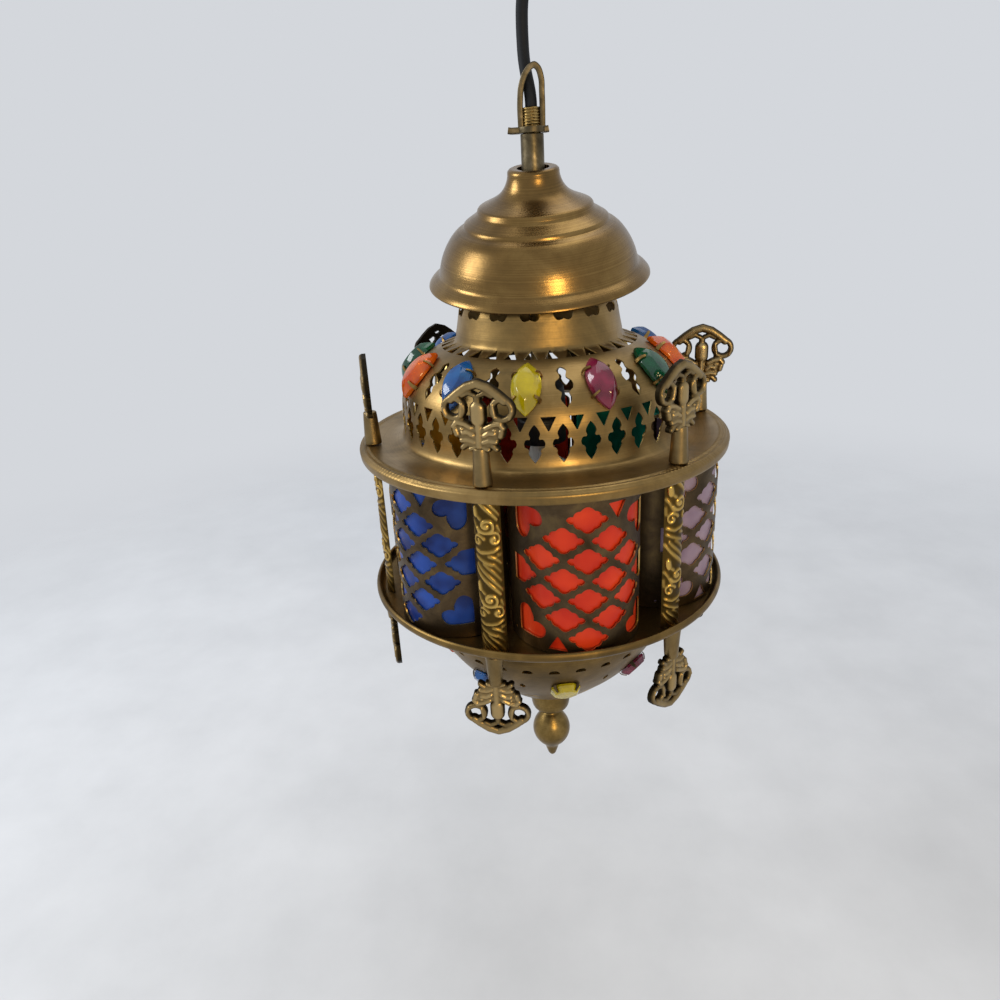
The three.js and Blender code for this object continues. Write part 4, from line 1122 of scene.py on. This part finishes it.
# Bowl: spun, with a row of half-moons, small leaves between the stones and crescents near the finial
bowlProfile = [
    (75.6, -93.5), (75.5, -99), (75, -105), (73.5, -115.5), (69.3, -126), (63, -136.5), (54.6, -147),
    (44, -157.5), (32.5, -168), (21, -176.4), (14.6, -181.4), (12, -182.3), (3.6, -182.4),
]
bowl = {
    "wall": 1.2, "pitch": 2.6, "clear": 0.9, "first": 8, "stoneHeight": -138.5,
    "stoneRadius": 8.9, "prong": 5.8,
}
bowlSpun = SpunLine(smoothLine(bowlProfile, 2.4))
atHeight = lambda z: float(np.interp(-z, -bowlSpun.line[:, 1], bowlSpun.s))
halfMoon = bowed(
    [(3.1, -1.5), (2.6, 0.5), (0, 1.5), (-2.6, 0.5), (-3.1, -1.5)], [0.1, 0.4, 0.4, 0.1, 0]
)
leaf = bowed([(0, -3), (0, 3)], [1.7, 1.7], 8)
crescent = bowed([(-5, -1.6), (0, 0.4), (5, -1.6), (0, 3.4)], [-0.4, -0.4, 1.1, 1.1], 6)
bowlHoles = []
for count, first, z, outline in [
    (30, 2, -120.5, halfMoon), (8, 30.5, -136, leaf), (8, 30.5, -156, crescent),
]:
    bowlHoles += [(outline, first + k * 360 / count, atHeight(z)) for k in range(count)]
bowlBody = piercedSpun(bowlSpun, bowl["wall"], bowlHoles, bowl["pitch"], bowl["clear"])
bowlLip = turned(easedLine([(74.6, -94.7), (77, -94.7), (77, -93.5), (74.6, -93.5)], 0.3), 160)
makePiece(
    "pierced_bowl", "lamp_frame", joined([bowlBody, bowlLip]), [agedBrass, cutEdgeBrassAndGlint],
    ["bottom_bowl"],
)
eighths = (np.arange(8) + 0.5) * np.pi / 4
octagon = bowl["stoneRadius"] * np.stack([np.cos(eighths), np.sin(eighths)], 1)
octagonLayers = [(0.94, 0.2), (1, 0.45), (1, 1.7), (0.72, 4.4), (0.68, 4.55)]
bowlPath = [(-1.0, 0.2), (-0.7, 1.6), (0.2, 2.8), (1.4, 3.9)]
bowlColours = ["yellow", "magenta", "green", "orange", "yellow", "green", "orange", "blue"]
bowlProngs = []
for k, colour in enumerate(bowlColours):
    azimuth, s = bowl["first"] + k * 360 / len(bowlColours), atHeight(bowl["stoneHeight"])
    place = lambda u, v, level: bowlSpun.place(azimuth, s, u, v, level)
    makePiece(
        f"bowl_stone_{k + 1}", "lamp_frame", layeredStone(octagon, octagonLayers, place),
        [stoneGlass[colour]], sharp=20,
    )
    for a in (-1, 1):
        for b in (-1, 1):
            edge = (a * bowl["prong"], b * bowl["prong"])
            bowlProngs.append(prong(edge, (-a, -b), place, bowlPath, (2.4, 1.8, 0.9)))
makePiece("bowl_prongs", "lamp_frame", joined(bowlProngs), [panelBrass])
print("bowl made")

# Finial: turned from bar, a cup against the bowl, a ball and a spike
finialLine = smoothLine([
    (12.6, -182.7), (12.7, -187), (12.6, -191.5), (11.6, -195), (8.6, -197.3), (5.4, -198.2),
    (4.9, -199.4), (5.2, -200.5), (7, -202.2), (9.3, -205.2), (11.4, -209), (12.4, -212.6),
    (12.5, -215.4), (11.6, -219.4), (9.2, -223.6), (6.8, -226.2), (5.3, -228), (3.7, -232.6),
    (2.2, -236.5), (1.4, -237.5),
], 1.0)
makePiece("turned_finial", "finial", turned(np.vstack([
    [(0, -174.9), (3, -174.9), (3, -182.7)], finialLine, [(0, -237.9)],
]), 72), [turnedBrass], ["finial"])

# Lampholder and bulb, seen through the pierced sheets
makePiece("bulb_holder", "lamp_frame", turned(easedLine([
    (5.1, 28), (9, 28), (13, 24), (14, 18), (14, 8), (13.4, 7.4), (13.4, 5.6), (14, 5), (14, -8),
    (7.1, -8), (7.1, 18), (5.1, 18), (5.1, 28),
], 0.6)[:-1], 64), [phenolic], ["lampholder"])
bulb = {"radius": 22.4, "centre": -39.8, "from": 26, "to": 176, "steps": 28}
bulbTurn = np.radians(np.linspace(bulb["from"], bulb["to"], bulb["steps"]))
bulbBall = bulb["radius"] * np.stack([np.sin(bulbTurn), np.cos(bulbTurn)], 1) + (0, bulb["centre"])
bulbNeck = smoothLine([(6.6, -8), (6.9, -11.5), (8, -15.5), bulbBall[0].tolist()], 1.0)[:-1]
makePiece("opal_bulb", "bulb", turned(np.vstack([
    [(0, 17.7), (3, 17.7), (6.4, 14.7), (6.6, 2)], bulbNeck, bulbBall, [(0, -62.25)],
]), 64), [opalGlass], ["bulb"])

# Hidden parts keep their own meshes
for name, material in {
    "inner_flex": cordPvc, "cap_stop_nut": turnedBrass, "cap_washer": turnedBrass,
    "bar_nut": turnedBrass, "cross_bar": panelBrass, "finial_nut": turnedBrass,
}.items():
    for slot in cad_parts[name].material_slots:
        slot.material = material
print("finial, lampholder and bulb made")

# Stage: a pale round floor that fades out towards its edge, where the world's own pale grey shows.
# Its faces look up, and from below it is clear.
stage = {
    "height": -0.618, "radius": 2.6, "rings": 40, "steps": 96, "fades": 0.75, "gone": 1.5,
    "sky": "#d4d7dc",
}
steps, rings = stage["steps"], stage["rings"]
reach = np.repeat(np.linspace(0.05, stage["radius"], rings), steps)
turn = np.tile(np.arange(steps) * 2 * np.pi / steps, rings)
floorPoints = np.stack([
    reach * np.cos(turn), reach * np.sin(turn), np.full(len(turn), stage["height"]),
], 1)
floorMesh = bpy.data.meshes.new("floor")
floorMesh.from_pydata(
    np.vstack([floorPoints, [(0, 0, stage["height"])]]).tolist(), [],
    gridQuads(rings, steps)[:, ::-1].tolist() + endFans(rings, steps)[:steps, ::-1].tolist(),
)
floor = bpy.data.objects.new("floor", floorMesh)
bpy.context.scene.collection.objects.link(floor)
cloth = bpy.data.materials.new("pale_backdrop_cloth")
cloth.use_nodes = True
tree = cloth.node_tree
tree.nodes.clear()
place = addNode(tree, "ShaderNodeTexCoord").outputs["Object"]
clouds = addNode(
    tree, "ShaderNodeTexNoise", inputs={"Scale": 9.0, "Detail": 6.0, "Roughness": 0.6},
    links={"Vector": place},
).outputs["Fac"]
tint = addNode(
    tree, "ShaderNodeValToRGB", links={"Fac": clouds},
    stops=[(0.3, hexColour("#c9cbce")), (0.7, hexColour("#d4d6d9"))],
).outputs["Color"]
matt = addNode(tree, "ShaderNodeBsdfDiffuse", links={"Color": tint}).outputs["BSDF"]
clear = addNode(tree, "ShaderNodeBsdfTransparent").outputs["BSDF"]
far = addNode(tree, "ShaderNodeVectorMath", {"operation": "LENGTH"}, links={0: place}).outputs["Value"]
fade = addNode(
    tree, "ShaderNodeMapRange", {"interpolation_type": "SMOOTHSTEP"},
    {"From Min": stage["fades"], "From Max": stage["gone"]}, {"Value": far},
).outputs["Result"]
under = addNode(tree, "ShaderNodeNewGeometry").outputs["Backfacing"]
gone = addNode(tree, "ShaderNodeMath", {"operation": "MAXIMUM"}, links={0: fade, 1: under}).outputs[0]
shown = addNode(tree, "ShaderNodeMixShader", links={0: gone, 1: matt, 2: clear})
addNode(tree, "ShaderNodeOutputMaterial", links={"Surface": shown.outputs[0]})
floorMesh.materials.append(cloth)

world = bpy.data.worlds.new("soft_room")
world.use_nodes = True
world.node_tree.nodes["Background"].inputs["Color"].default_value = hexColour(stage["sky"])
bpy.context.scene.world = world
for name, spot, size, strength, colour in [
    ("window", (-1.2, -0.1, 0.35), (0.5, 0.6), 9, (0.96, 0.98, 1.0)),
    ("warm_lamp", (0.37, -1.05, -0.05), (0.2, 0.2), 4.2, (1.0, 0.72, 0.32)),
    ("ceiling_panel", (0.2, 0.3, 0.9), (1.0, 1.0), 4, (1.0, 1.0, 1.0)),
]:
    lamp = bpy.data.lights.new(name, "AREA")
    lamp.shape, lamp.size, lamp.size_y = "RECTANGLE", *size
    lamp.energy, lamp.color = strength, colour
    light = bpy.data.objects.new(name, lamp)
    light.location = spot
    aim = Vector((0, 0, -0.28)) - Vector(spot)
    light.rotation_euler = aim.to_track_quat("-Z", "Y").to_euler()
    bpy.context.scene.collection.objects.link(light)
bpy.context.scene.view_settings.view_transform = "Standard"
print("stage and lights made")
